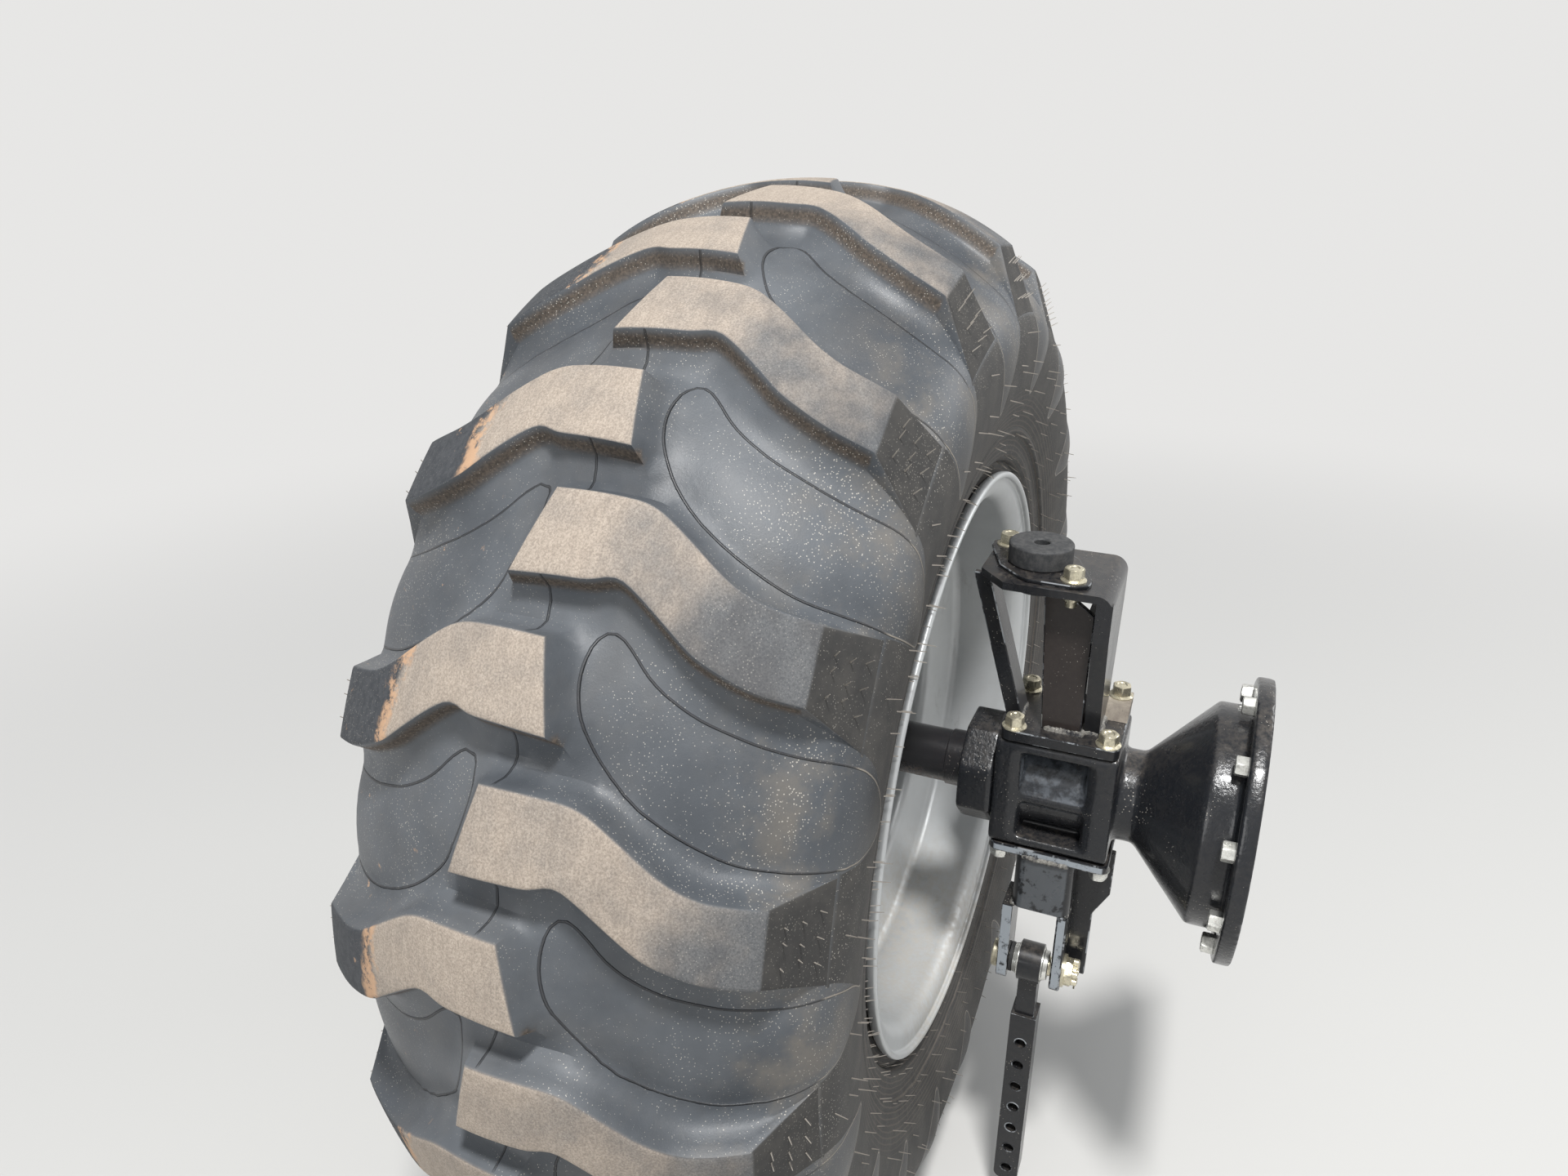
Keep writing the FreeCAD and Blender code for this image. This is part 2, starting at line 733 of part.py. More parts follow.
ear_low = d.pin_z - d.ear_below_pin
outer_ear_start = d.channel_end - d.ear_thickness + d.ear_overhang
for label, start in (
    ("bracket_ear_inner", d.channel_start),
    ("bracket_ear_outer", outer_ear_start),
):
    ear = new_body(label)
    ear_plan = new_sketch(ear, "XZ_Plane", -start - d.ear_thickness)
    outline(ear_plan, block((-half_x, ear_low), (-half_x + d.ear_width, channel_low)))
    pad(ear, ear_plan, d.ear_thickness)
    round_edges(ear, d.corner_radius, "x", "z", [
        (-half_x, ear_low), (-half_x + d.ear_width, ear_low),
    ])
    ear_hole = new_sketch(ear, "XZ_Plane", -start)
    circle(ear_hole, -half_x + d.ear_width / 2, d.pin_z, d.pin_radius + d.pin_clearance)
    pocket(ear, ear_hole, d.ear_thickness * 3, both_ways=True)

# Gusset down the front edge of the inner ear.
ear_inboard = d.channel_start
ear_middle = ear_inboard + d.ear_thickness / 2
bracket_gusset = new_body("bracket_gusset")
gusset_line = new_sketch(bracket_gusset, "YZ_Plane", -half_x + d.ear_width)
outline(gusset_line, [
    (ear_middle, plate_low),
    (ear_middle, ear_low + d.ear_below_pin),
    (ear_inboard, ear_low),
    (ear_inboard - d.gusset_tail, ear_low),
    (ear_inboard - d.gusset_tail, plate_low - d.gusset_shoulder - d.gusset_slope),
    (ear_inboard - d.gusset_reach, plate_low - d.gusset_shoulder),
    (ear_inboard - d.gusset_reach, plate_low),
])
pad(bracket_gusset, gusset_line, d.gusset_sheet)

# Pin of the bracket, along Y, with its head outboard.
pin_x = -half_x + d.ear_width / 2
pin_inner = ear_inboard - d.pin_tail
pin_outer = outer_ear_start + d.ear_thickness
stabiliser_pin = new_body("stabiliser_pin")
pin_line = new_sketch(stabiliser_pin, "YZ_Plane")
outline(pin_line, [
    (pin_inner, 0),
    (pin_inner, d.pin_radius),
    (pin_outer, d.pin_radius),
    (pin_outer, d.pin_radius + d.pin_head_rise),
    (pin_outer + d.pin_head_length, d.pin_radius + d.pin_head_rise),
    (pin_outer + d.pin_head_length, 0),
])
revolve(stabiliser_pin, pin_line)
tie(stabiliser_pin, "Placement.Base.x", pin_x)
tie(stabiliser_pin, "Placement.Base.z", d.pin_z)

# Stabiliser bar: a ball eye with its collars, a square shank and a square bar with a row of holes.
bar_y = (d.channel_start + d.ear_thickness + outer_ear_start) / 2
bar = new_body("stabiliser_bar")
eye_line = new_sketch(bar, "XZ_Plane", -bar_y)
circle(eye_line, 0, 0, d.eye_radius)
pad(bar, eye_line, d.eye_width, both_ways=True)
collar_line = new_sketch(bar, "XZ_Plane", -bar_y)
circle(collar_line, 0, 0, d.ball_radius)
pad(bar, collar_line, d.eye_width + d.collar_length * 2, both_ways=True)
for top, low, half in (
    (0, -d.shank_length, d.shank_width / 2),
    (-d.shank_length, -d.bar_length, d.bar_width / 2),
):
    bar_plan = new_sketch(bar, "XY_Plane", low)
    outline(bar_plan, block((-half, bar_y - half), (half, bar_y + half)))
    pad(bar, bar_plan, top - low)
round_edges(bar, d.corner_radius, "y", "z", [
    (bar_y + d.bar_width / 2 * side, -d.bar_length) for side in (-1, 1)
])
eye_bore = new_sketch(bar, "XZ_Plane", -bar_y)
circle(eye_bore, 0, 0, d.pin_radius + d.running_clearance)
pocket(bar, eye_bore, d.bar_width * 2, both_ways=True)
bar_hole = new_sketch(bar, "YZ_Plane", 0)
circle(bar_hole, bar_y, -d.bar_length + d.bar_hole_end, d.bar_hole_radius)
bar_cut = pocket(bar, bar_hole, d.bar_width * 2, both_ways=True)
row_of_holes = bar.newObject("PartDesign::LinearPattern", "bar_hole_row")
row_of_holes.Originals = [bar_cut]
z_axis = next(f for f in bar.Origin.OriginFeatures if f.Role == "Z_Axis")
row_of_holes.Direction = (z_axis, [""])
row_of_holes.Mode = "Spacing"
tie(row_of_holes, "Offset", d.bar_hole_pitch)
tie(row_of_holes, "Occurrences", d.bar_hole_count)
bar.Tip = row_of_holes
doc.recompute()
tie(bar, "Placement.Base.x", pin_x)
tie(bar, "Placement.Base.z", d.pin_z)

# Tyre: a hollow carcass of tangent arcs with two rows of lugs fused to it.
# One lug, as stations from its inner end across the crown to its foot on the sidewall.
# Columns: distance of the upper edge from the centre line, its angle, the same for the lower
# edge, and how far the top lies under the crown arc.
LUG_STATIONS = (
    (-14, 24.4, -31, 18.2, 0),
    (63, 24.4, 46, 18.9, 0),
    (119, 20.9, 101, 16.2, 0),
    (150, 19.5, 146, 14.0, 0),
    (187, 19.4, 188, 13.5, 0),
    (215, 19.1, 216, 10.2, 43),
)
tyre_y = size("wheel_centre_y")
tyre_r = size("tyre_radius")
half_width = size("tyre_half_width")
crown_centre = tyre_r - size("crown_radius")
CROWN_TURN = 90  # the crown arc's turn at the centre line, in degrees
SIDE_TURN = math.radians(28)  # how far the sidewall's arc turns before it meets the bead
ROOT_FALL = 0.6  # share of a station's depth under the crown that the lug's root takes too


def crown(y, sink):
    """Radius from the axle of the crown arc, sunk by so much, at a distance y from the centre line."""
    arc = size("crown_radius") - sink
    return crown_centre + math.sqrt(max(arc * arc - y * y, 1))


def arc_points(centre_y, centre_r, arc, angles):
    """Points of an arc in the half section; angles are degrees up from outboard."""
    turns = [math.radians(a) for a in angles]
    return [(centre_y + arc * math.cos(a), centre_r + arc * math.sin(a)) for a in turns]


def half_line(sink, wall, shoulder, bead_y, bead_r, steps):
    """Half a section line from the crown to the bead: crown, shoulder and sidewall arcs.

    steps gives the number of flats on each arc; the sidewall's is stretched to end on the bead.
    """
    arc = size("crown_radius") - sink
    side_y = half_width - wall
    centre_y = side_y - shoulder
    centre_r = crown_centre + math.sqrt((arc - shoulder) ** 2 - centre_y**2)
    meet = math.degrees(math.atan2(centre_r - crown_centre, centre_y))
    top = CROWN_TURN - (CROWN_TURN - meet) / (2 * steps[0] + 1)
    on_crown = [top - (top - meet) * n / steps[0] for n in range(steps[0] + 1)]
    on_shoulder = [meet - meet * n / steps[1] for n in range(1, steps[1] + 1)]
    points = arc_points(0, crown_centre, arc, on_crown)
    points += arc_points(centre_y, centre_r, shoulder, on_shoulder)
    across, down = side_y - bead_y, centre_r - bead_r
    for n in range(1, steps[2] + 1):
        turn = SIDE_TURN * n / steps[2]
        inward = (1 - math.cos(turn)) / (1 - math.cos(SIDE_TURN))
        fallen = math.sin(turn) / math.sin(SIDE_TURN)
        points.append((side_y - across * inward, centre_r - down * fallen))
    return points


def section():
    """The closed section of the carcass, as distances from the centre line and radii."""
    clear = size("bead_clearance")
    # A flat is nearest the axle at mid chord, so its corners stand out by this factor.
    corner = 1 / math.cos(math.pi / size("tyre_flats"))
    bead_y = size("rim_half_width") - clear
    bead_r = rim_flange_radius.value + size("bead_lift")
    seat_r = (size("rim_bead_radius") + clear) * corner
    toe_y = bead_y - size("bead_width")
    tread, wall, shoulder = size("tread_depth"), size("sidewall"), size("shoulder_radius")
    outer = half_line(tread, 0, shoulder, bead_y, bead_r, (2, 2, 2))
    outer += [(bead_y, seat_r), (toe_y, seat_r)]
    toe_r = bead_r + size("toe_lift")
    inner = half_line(
        tread + size("tread_wall"), wall, shoulder - wall, toe_y, toe_r, (1, 1, 1)
    )
    half = outer + inner[::-1]
    left, right = [(-y, r) for y, r in half], half
    outer_count = len(outer)
    return (
        left[:outer_count][::-1] + right[:outer_count] + right[outer_count:]
        + left[outer_count:][::-1]
    )


def carcass():
    """The carcass as flats round the axle, one flat per chord of the section's arcs."""
    line = section()
    flats = int(size("tyre_flats"))
    step = 360 / flats
    faces = []
    for n in range(flats):
        here, there = n * step, (n + 1) * step
        for (y1, r1), (y2, r2) in zip(line, line[1:] + line[:1]):
            corners = [
                on_tyre(1, y1, r1, here),
                on_tyre(1, y2, r2, here),
                on_tyre(1, y2, r2, there),
                on_tyre(1, y1, r1, there),
            ]
            faces.append(Part.Face(Part.makePolygon([*corners, corners[0]])))
    shell = Part.makeShell(faces)
    solid = Part.makeSolid(shell)
    if solid.Volume < 0:
        solid.reverse()
    return solid


def on_tyre(side, y, r, degrees):
    """A point of the tyre; degrees run up from the rear horizontal."""
    turn = math.radians(degrees)
    return FreeCAD.Vector(-r * math.cos(turn), tyre_y + side * y, r * math.sin(turn))


def lug(side, turn):
    """One lug as a closed shell of triangles between neighbouring stations."""
    draft = size("lug_draft")
    root = size("tread_depth") + size("lug_root")
    rings = []
    last = len(LUG_STATIONS) - 1
    for n, (upper_y, upper, lower_y, lower, under) in enumerate(LUG_STATIONS):
        end = -draft if n == 0 else 0
        low_r = crown(upper_y, root) - under
        spread = math.degrees(draft / low_r) if n < last else 0
        inward = size("lug_foot_inset") if n == last else 0
        rings.append([
            on_tyre(side, upper_y, crown(upper_y, 0) - under, turn + upper),
            on_tyre(side, lower_y, crown(lower_y, 0) - under, turn + lower),
            on_tyre(side, lower_y + end - inward, crown(lower_y, root) - under * ROOT_FALL,
                    turn + lower - spread),
            on_tyre(side, upper_y + end - inward, crown(upper_y, root) - under * ROOT_FALL,
                    turn + upper + spread),
        ])
    faces = [(rings[0][0], rings[0][1], rings[0][2]), (rings[0][0], rings[0][2], rings[0][3])]
    faces += [(rings[-1][0], rings[-1][1], rings[-1][2]), (rings[-1][0], rings[-1][2], rings[-1][3])]
    for here, there in zip(rings, rings[1:]):
        for a in range(4):
            b = (a + 1) % 4
            faces.append((here[a], here[b], there[b]))
            faces.append((here[a], there[b], there[a]))
    shell = Part.Shell([Part.Face(Part.makePolygon([*three, three[0]])) for three in faces])
    solid = Part.Solid(shell)
    if solid.Volume < 0:
        solid.reverse()
    return solid


pitch = 360 / size("lug_pairs")
lugs = []
for n in range(int(size("lug_pairs"))):
    lugs.append(lug(-1, n * pitch))
    lugs.append(lug(1, (n + 0.5) * pitch))
tyre = doc.addObject("Part::Feature", "tyre")
tyre.Shape = carcass().fuse(lugs)
keep(tyre, "tyre")

doc.recompute()
for thing in doc.Objects:
    if {"Invalid", "Error"} & set(thing.State):
        raise RuntimeError(f"{thing.Name} did not compute: {thing.State}")
os.makedirs("parts", exist_ok=True)
for thing in BUILT:
    shape = thing.Shape
    if shape.isNull() or not shape.isValid():
        raise RuntimeError(thing.Label + " has no sound shape")
    shape.exportStep(f"parts/{thing.Label}.step")
    print(f"{thing.Label:20s} solids {len(shape.Solids)} faces {len(shape.Faces)}")
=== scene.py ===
"""Looks of the rear wheel unit: tyre, rim, castings, sheet steel and fasteners, floor, light, camera.

The frame is in metres.  The wheel turns about the line x 0, z 0.
"""

import math
from functools import partialmethod

import bmesh
import bpy
import numpy as np
from mathutils import Matrix, Vector
from mathutils.geometry import delaunay_2d_cdt


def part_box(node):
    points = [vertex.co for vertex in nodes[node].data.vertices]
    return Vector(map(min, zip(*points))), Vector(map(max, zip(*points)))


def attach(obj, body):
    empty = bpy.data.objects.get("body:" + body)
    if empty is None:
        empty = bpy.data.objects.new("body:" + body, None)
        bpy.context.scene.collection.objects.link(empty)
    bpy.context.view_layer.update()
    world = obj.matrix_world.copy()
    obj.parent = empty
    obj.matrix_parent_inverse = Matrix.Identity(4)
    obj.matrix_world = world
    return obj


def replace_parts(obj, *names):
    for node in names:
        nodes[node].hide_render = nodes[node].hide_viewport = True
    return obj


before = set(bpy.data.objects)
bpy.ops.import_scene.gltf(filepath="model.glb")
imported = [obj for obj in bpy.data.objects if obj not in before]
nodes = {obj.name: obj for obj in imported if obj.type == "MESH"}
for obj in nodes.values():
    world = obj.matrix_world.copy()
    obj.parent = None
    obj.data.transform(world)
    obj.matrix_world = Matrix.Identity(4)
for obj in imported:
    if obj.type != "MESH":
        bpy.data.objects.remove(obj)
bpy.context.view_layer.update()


def new_piece(name, points, faces, sharp=35):
    """A closed mesh piece with smooth shading and sharp edges over so many degrees."""
    mesh = bpy.data.meshes.new(name)
    mesh.from_pydata([tuple(p) for p in points], [], [tuple(int(n) for n in f) for f in faces])
    mesh.validate()
    form = bmesh.new()
    form.from_mesh(mesh)
    bmesh.ops.recalc_face_normals(form, faces=form.faces)
    form.to_mesh(mesh)
    form.free()
    mesh.shade_smooth()
    mesh.set_sharp_from_angle(angle=math.radians(sharp))
    piece = bpy.data.objects.new(name, mesh)
    bpy.context.scene.collection.objects.link(piece)
    return piece


# Shading helpers.
class Nodes:
    """A node tree built by short calls."""

    def __init__(self, tree):
        self.tree, self.place = tree, None

    def put(self, socket, source):
        """Set a socket to a number, a colour or another node's output."""
        if isinstance(source, (int, float)):
            socket.default_value = source
        elif isinstance(source, tuple):
            socket.default_value = (*source, 1.0)[: len(socket.default_value)]
        else:
            self.tree.links.new(source, socket)

    def node(self, kind, sockets=None, **settings):
        """A new node with its settings and, by name or number, what its sockets get."""
        made = self.tree.nodes.new("ShaderNode" + kind)
        for key, value in settings.items():
            setattr(made, key, value)
        for key, source in (sockets or {}).items():
            self.put(made.inputs[key], source)
        return made

    def where(self, stretch=None):
        """The surface point in metres, stretched where asked."""
        if self.place is None:
            self.place = self.node("TexCoord").outputs["Object"]
        if stretch is None:
            return self.place
        return self.node("Mapping", {"Scale": stretch, "Vector": self.place}).outputs["Vector"]

    def axis(self, name):
        """One coordinate of the surface point."""
        return self.node("SeparateXYZ", {0: self.where()}).outputs[name]

    def attribute(self, name):
        return self.node("Attribute", attribute_name=name).outputs["Fac"]

    def noise(self, scale, detail=4.0, rough=0.55, stretch=None):
        return self.node("TexNoise", {"Scale": scale, "Detail": detail, "Roughness": rough,
                                      "Vector": self.where(stretch)}).outputs["Fac"]

    def specks(self, scale):
        """Distance to the nearest of scattered points."""
        return self.node("TexVoronoi", {"Scale": scale, "Vector": self.where()}).outputs["Distance"]

    def ramp(self, source, low, high, first=0.0, last=1.0):
        """From first to last, eased, as the source goes from low to high; low may be the larger."""
        return self.node("MapRange", {"Value": source, "From Min": low, "From Max": high, "To Min": first,
                                      "To Max": last}, interpolation_type="SMOOTHSTEP").outputs["Result"]

    def maths(self, operation, first, second=0.0):
        return self.node("Math", {0: first, 1: second}, operation=operation).outputs[0]

    plus = partialmethod(maths, "ADD")
    minus = partialmethod(maths, "SUBTRACT")
    most = partialmethod(maths, "MAXIMUM")
    size = partialmethod(maths, "ABSOLUTE")

    def times(self, first, *others):
        for other in others:
            first = self.maths("MULTIPLY", first, other)
        return first

    def mix(self, share, first, second):
        """A colour between two by share."""
        return self.node("Mix", {0: share, 6: first, 7: second}, data_type="RGBA").outputs[2]

    def blend(self, share, first, second):
        """A number between two by share."""
        return self.node("Mix", {0: share, 2: first, 3: second}, data_type="FLOAT").outputs[0]

    def bump(self, height, distance, strength=1.0, under=None):
        made = self.node("Bump", {"Distance": distance, "Strength": strength, "Height": height})
        if under is not None:
            self.put(made.inputs["Normal"], under)
        return made.outputs["Normal"]

    def seen(self):
        """1 for rays from the camera, straight or by way of a mirror or glass, and otherwise 0."""
        rays = self.node("LightPath").outputs
        direct = self.most(rays["Is Camera Ray"], rays["Is Glossy Ray"])
        return self.most(direct, rays["Is Transmission Ray"])


class Paint(Nodes):
    """A material."""

    def __init__(self, name, color=(0.5, 0.5, 0.5), rough=0.5):
        self.made = bpy.data.materials.new(name)
        self.made.use_nodes = True
        super().__init__(self.made.node_tree)
        self.shader = self.tree.nodes["Principled BSDF"]
        self.finish(color, rough, metal=0.0)

    def finish(self, color, rough, normal=None, metal=None, specular=None, coat=(None, None)):
        """The shader with what is given; coat is a weight and a roughness."""
        for name, source in (("Base Color", color), ("Roughness", rough), ("Normal", normal),
                             ("Metallic", metal), ("Specular IOR Level", specular),
                             ("Coat Weight", coat[0]), ("Coat Roughness", coat[1])):
            if source is not None:
                self.put(self.shader.inputs[name], source)
        return self.made


def rubber_paint():
    """Blue-grey rubber: tan dust on the lugs' tops, brown walls, sand grains, a line round each pad, pale
    beige on the sidewall as dust with a painted highlight.
    """
    p = Paint("tyre_rubber")
    tread, pad, tongue = p.attribute("tread"), p.attribute("pad"), p.attribute("tongue")
    inward = p.minus(WHEEL_Y / 1000, p.axis("Y"))
    across, up = p.axis("X"), p.axis("Z")
    radius = p.maths("SQRT", p.plus(p.times(across, across), p.times(up, up)))
    cloud, patch = p.noise(6.5, 5, 0.6), p.noise(17, 5, 0.65)
    fine, grain = p.noise(150, 5, 0.75), p.noise(620, 3, 0.75)
    top = p.ramp(tread, 0.3, 0.9)
    face = p.times(top, p.ramp(radius, 0.5628, 0.5595))
    wall = p.ramp(tread, -0.15, -0.9)
    side = p.times(p.ramp(radius, 0.5, 0.494), p.ramp(tongue, 0.5, -0.5))
    rim_side = p.plus(inward, p.times(p.minus(patch, 0.5), 0.05))

    # Between the lugs: satin rubber with a thin haze, sandy in patches over the shoulder.
    bare = p.mix(p.ramp(cloud, 0.32, 0.68), (0.052, 0.058, 0.066), (0.096, 0.104, 0.114))
    haze = p.times(p.ramp(patch, 0.42, 0.7), p.ramp(inward, 0.12, 0.2, 0.1, 0.6))
    color = p.mix(haze, bare, (0.17, 0.148, 0.12))
    # Tops: even dust with a fine grain, wiped off towards both ends.
    rubbed = p.mix(p.ramp(grain, 0.35, 0.65), (0.066, 0.073, 0.081), (0.108, 0.115, 0.122))
    streak = p.ramp(p.noise(30, 3, 0.5, (1, 1, 0.2)), 0.4, 0.62, 0.0, 0.55)
    rubbed = p.mix(streak, rubbed, (0.04, 0.044, 0.051))
    outer_end = p.ramp(rim_side, -0.104, -0.118)
    dark = p.mix(p.ramp(fine, 0.35, 0.65), (0.03, 0.033, 0.038), (0.052, 0.055, 0.06))
    rubbed = p.mix(outer_end, rubbed, dark)
    dust = p.mix(p.ramp(grain, 0.33, 0.67), (0.25, 0.208, 0.169), (0.41, 0.348, 0.287))
    wiped = p.ramp(p.noise(230, 4, 0.6, (0.25, 1, 0.25)), 0.35, 0.7, 0.0, 0.3)
    dust = p.mix(wiped, dust, (0.2, 0.165, 0.135))
    reach = p.plus(inward, p.times(p.minus(cloud, 0.5), 0.4))
    share = p.times(p.ramp(reach, 0.055, 0.175, 1.0, 0.1), p.ramp(patch, 0.25, 0.6, 0.7, 1.0),
                    p.ramp(rim_side, -0.118, -0.104))
    color = p.mix(top, color, p.mix(share, rubbed, dust))
    clay = p.times(p.ramp(p.noise(40, 6, 0.75), 0.45, 0.55), p.ramp(rim_side, -0.126, -0.119),
                   p.ramp(rim_side, -0.102, -0.11), p.ramp(tread, 0.3, 0.6))
    spots = p.times(p.ramp(p.noise(55, 5, 0.7), 0.66, 0.7), p.ramp(rim_side, -0.08, -0.1), 0.7)
    color = p.mix(p.times(p.most(clay, spots), 0.85), color, (0.48, 0.3, 0.18))
    # End faces, lower walls and, below the tongues, the sidewall.
    stain = p.ramp(p.noise(40, 4, 0.6, (1, 0.4, 1)), 0.35, 0.7)
    dull = p.mix(stain, (0.034, 0.033, 0.032), (0.054, 0.051, 0.047))
    color = p.mix(p.ramp(radius, 0.43, 0.525, 0.9, 0.0), color, dull)
    color = p.mix(p.most(face, side), color, dull)
    ring = p.maths("SINE", p.plus(p.times(radius, 1150.0), p.times(patch, 6.0)))
    ring = p.times(p.ramp(ring, 0.4, 1.0), p.ramp(radius, 0.4, 0.43, 0.5, 0.0))
    color = p.mix(ring, color, (0.12, 0.1, 0.083))
    soil = p.mix(p.ramp(p.noise(420, 2, 0.5), 0.3, 0.7), (0.052, 0.043, 0.035), (0.112, 0.088, 0.069))
    color = p.mix(wall, color, soil)
    # Sand grains, thickest near the shoulders and on the walls.
    many = p.plus(p.ramp(p.size(inward), 0.05, 0.19, 0.0, 0.06), p.times(wall, 0.04))
    many = p.plus(many, p.ramp(p.noise(13, 4), 0.36, 0.66, 0.05, 0.15))
    small = p.ramp(p.minus(p.specks(390), many), 0.04, -0.02)
    large = p.ramp(p.minus(p.specks(250), p.times(many, 0.42)), 0.02, -0.015)
    sand = p.times(p.most(p.times(small, 0.75), large), p.ramp(radius, 0.44, 0.49, 0.25, 1.0),
                   p.blend(top, 0.7, 0.28))
    color = p.mix(sand, color, (0.6, 0.56, 0.49))
    # The line round each pad: dark on the tread, and down the sidewall pale beige, dust on the ridge
    # together with a painted highlight.
    line = p.ramp(p.size(pad), 1.3, 0.35)
    line_highlight = p.ramp(radius, 0.494, 0.502, 0.8, 0.0)
    color = p.mix(p.times(line, p.minus(0.8, line_highlight)), color, (0.028, 0.028, 0.03))
    color = p.mix(p.times(line, line_highlight), color, (0.3, 0.265, 0.22))
    seam = p.times(p.ramp(p.size(p.plus(inward, 0.004)), 0.0012, 0.0004), p.ramp(tread, 0.4, 0.1),
                   p.ramp(radius, 0.5, 0.55))
    color = p.mix(p.times(seam, 0.6), color, (0.012, 0.012, 0.013))
    normal = p.bump(p.most(line, seam), 0.0016, 1.0)
    normal = p.bump(p.plus(p.times(fine, 0.6), p.times(grain, 0.4)), 0.0007, 0.5, normal)
    rough = p.blend(top, p.ramp(cloud, 0.3, 0.7, 0.42, 0.54), 0.82)
    rough = p.blend(p.most(wall, side), rough, 0.68)
    return p.finish(color, rough, normal, specular=0.4)


# The tyre's section: y from the middle plane and r from the axle, in millimetres.
WHEEL_Y = 505.0
TYRE_R, CROWN_R, DEPTH, SHOULDER_R, HALF_W = 620.0, 341.0, 29.0, 70.0, 222.5
BEAD_Y, BEAD_R = 190.3, 338.0
CROWN_C = TYRE_R - CROWN_R
BASE_R = CROWN_R - DEPTH
SHOULDER_Y = HALF_W - SHOULDER_R
SHOULDER_C = CROWN_C + math.sqrt((BASE_R - SHOULDER_R) ** 2 - SHOULDER_Y**2)
MEET = math.atan2(SHOULDER_Y, SHOULDER_C - CROWN_C)
ACROSS, DOWN = HALF_W - BEAD_Y, SHOULDER_C - BEAD_R
SIDE_R = (ACROSS**2 + DOWN**2) / (2 * ACROSS)
S1 = BASE_R * MEET
S2 = S1 + SHOULDER_R * (math.pi / 2 - MEET)
PITCH = 20.0  # degrees from one lug to the next on the same side
PITCHES = 18
DEGREE = math.radians(600.0)  # millimetres round the tread for one degree
DRAFT, END_DRAFT = math.tan(math.radians(15)), math.tan(math.radians(36))
WALL_FOOT = 12.0  # height at which a lug's wall runs into its fillet
PAD_RISE = 3.0
# A lug's top edge, rounded in steps.  Columns: outwards, down, tread mark.
EDGE_LEVELS = ((-3.4, 0.0, 1.0), (-1.3, 0.25, 0.9), (0.0, 1.0, 0.5), (0.9, 2.6, -0.3))
# How close the points of the mesh lie, how many lie across a pitch, where the tread's mesh ends.
EDGE_STEP, FILL_STEP, SIDE_COUNT, END_S = 6.0, 9.0, 25, 300.0
FAR = 30.0  # the largest distance that the pad and tongue marks hold

# One lug on its own side.  Columns: distance from the middle plane, degrees up from the rear.
UPPER_EDGE = ((-14, 24.4), (25, 24.5), (63, 24.4), (91, 22.8), (119, 20.9), (134, 20.1),
              (150, 19.6), (166, 19.45))
LOWER_EDGE = ((-31, 18.2), (8, 18.4), (35, 18.5), (46, 18.95), (57, 19.0), (75, 18.0),
              (101, 16.2), (118, 15.0), (146, 14.0), (165, 13.6))
# Corners of the lug's outer end and the foot of its end face.  Columns: arc length, degrees.
END_UPPER, END_LOWER = (182.2, 19.4), (182.7, 13.5)
FOOT_UPPER, FOOT_LOWER = (241.5, 20.7), (243.8, 11.1)
END_Y, END_R = (188.5, 188.0), (563.2, 563.5)
# The moulded pad between one lug and the next.  Columns: arc length, degrees.
PAD = ((34, 33.6), (35, 31.8), (41, 29.7), (57, 27.2), (85, 24.7), (117, 23.0), (149, 21.8),
       (170, 21.3), (203, 21.2), (228, 21.3), (245, 21.3), (269, 21.7), (300, 22.4), (318, 23.0),
       (325, 23.5), (327, 24.1), (324, 24.8), (318, 25.2), (305, 26.6), (290, 27.9), (268, 29.1),
       (250, 29.8), (230, 30.0), (197, 29.9), (168, 30.15), (150, 30.5), (119, 31.2), (85, 32.8),
       (60, 35.3), (48, 35.9), (38, 35.3))
# The panel between two lugs runs down the sidewall as a tongue.  Columns: arc length, degrees.
TONGUE = ((150, 16.0), (236, 20.6), (245, 21.0), (269, 21.4), (300, 22.1), (318, 22.7), (326, 23.2),
          (329, 24.1), (325, 25.0), (316, 25.6), (286, 28.6), (256, 30.8), (236, 31.4), (150, 36.0))
# Where one pitch of the tread ends and the next begins.  Columns: arc length, degrees.
PITCH_LINE = ((-300, 15.4), (-240, 15.0), (-200, 15.2), (-150, 16.5), (-110, 18.2), (-88, 20.0),
              (-68, 22.5), (-50, 24.8), (-31, 26.1), (0, 26.3), (31, 26.3), (54, 26.6),
              (70, 28.0), (88, 29.0), (110, 28.5), (150, 26.5), (200, 25.2), (240, 25.0),
              (300, 25.4))
# Side (1 is the one towards the axle) and turn of every lug that a pitch lies near.
LUG_PLACES = ((1, -20.0), (1, 0.0), (1, 20.0), (-1, -30.0), (-1, -10.0), (-1, 10.0))
# Rows of the sidewall down to the bead.  Columns: arc length, height over the carcass.
SIDE_ROWS = ((306, 0), (312, 0), (318, 0), (324, 0), (330, 0), (337, 0), (346, 0), (354, 0), (360, 0),
             (364, 0), (366, 1.6), (369, 2.2), (372, 1.6), (374, 0), (379, 0), (384, 0.6), (388, 3.0),
             (394, 4.4), (399, 4.4), (403, 3.0), (407, 0.4))
# Bead and inner liner.  Columns: distance from the middle plane, radius.
LINER = ((190.3, 334), (190.3, 326), (190.3, 309), (186, 306), (162, 306), (162, 345),
         (205, 440), (200, 500), (120, 545))


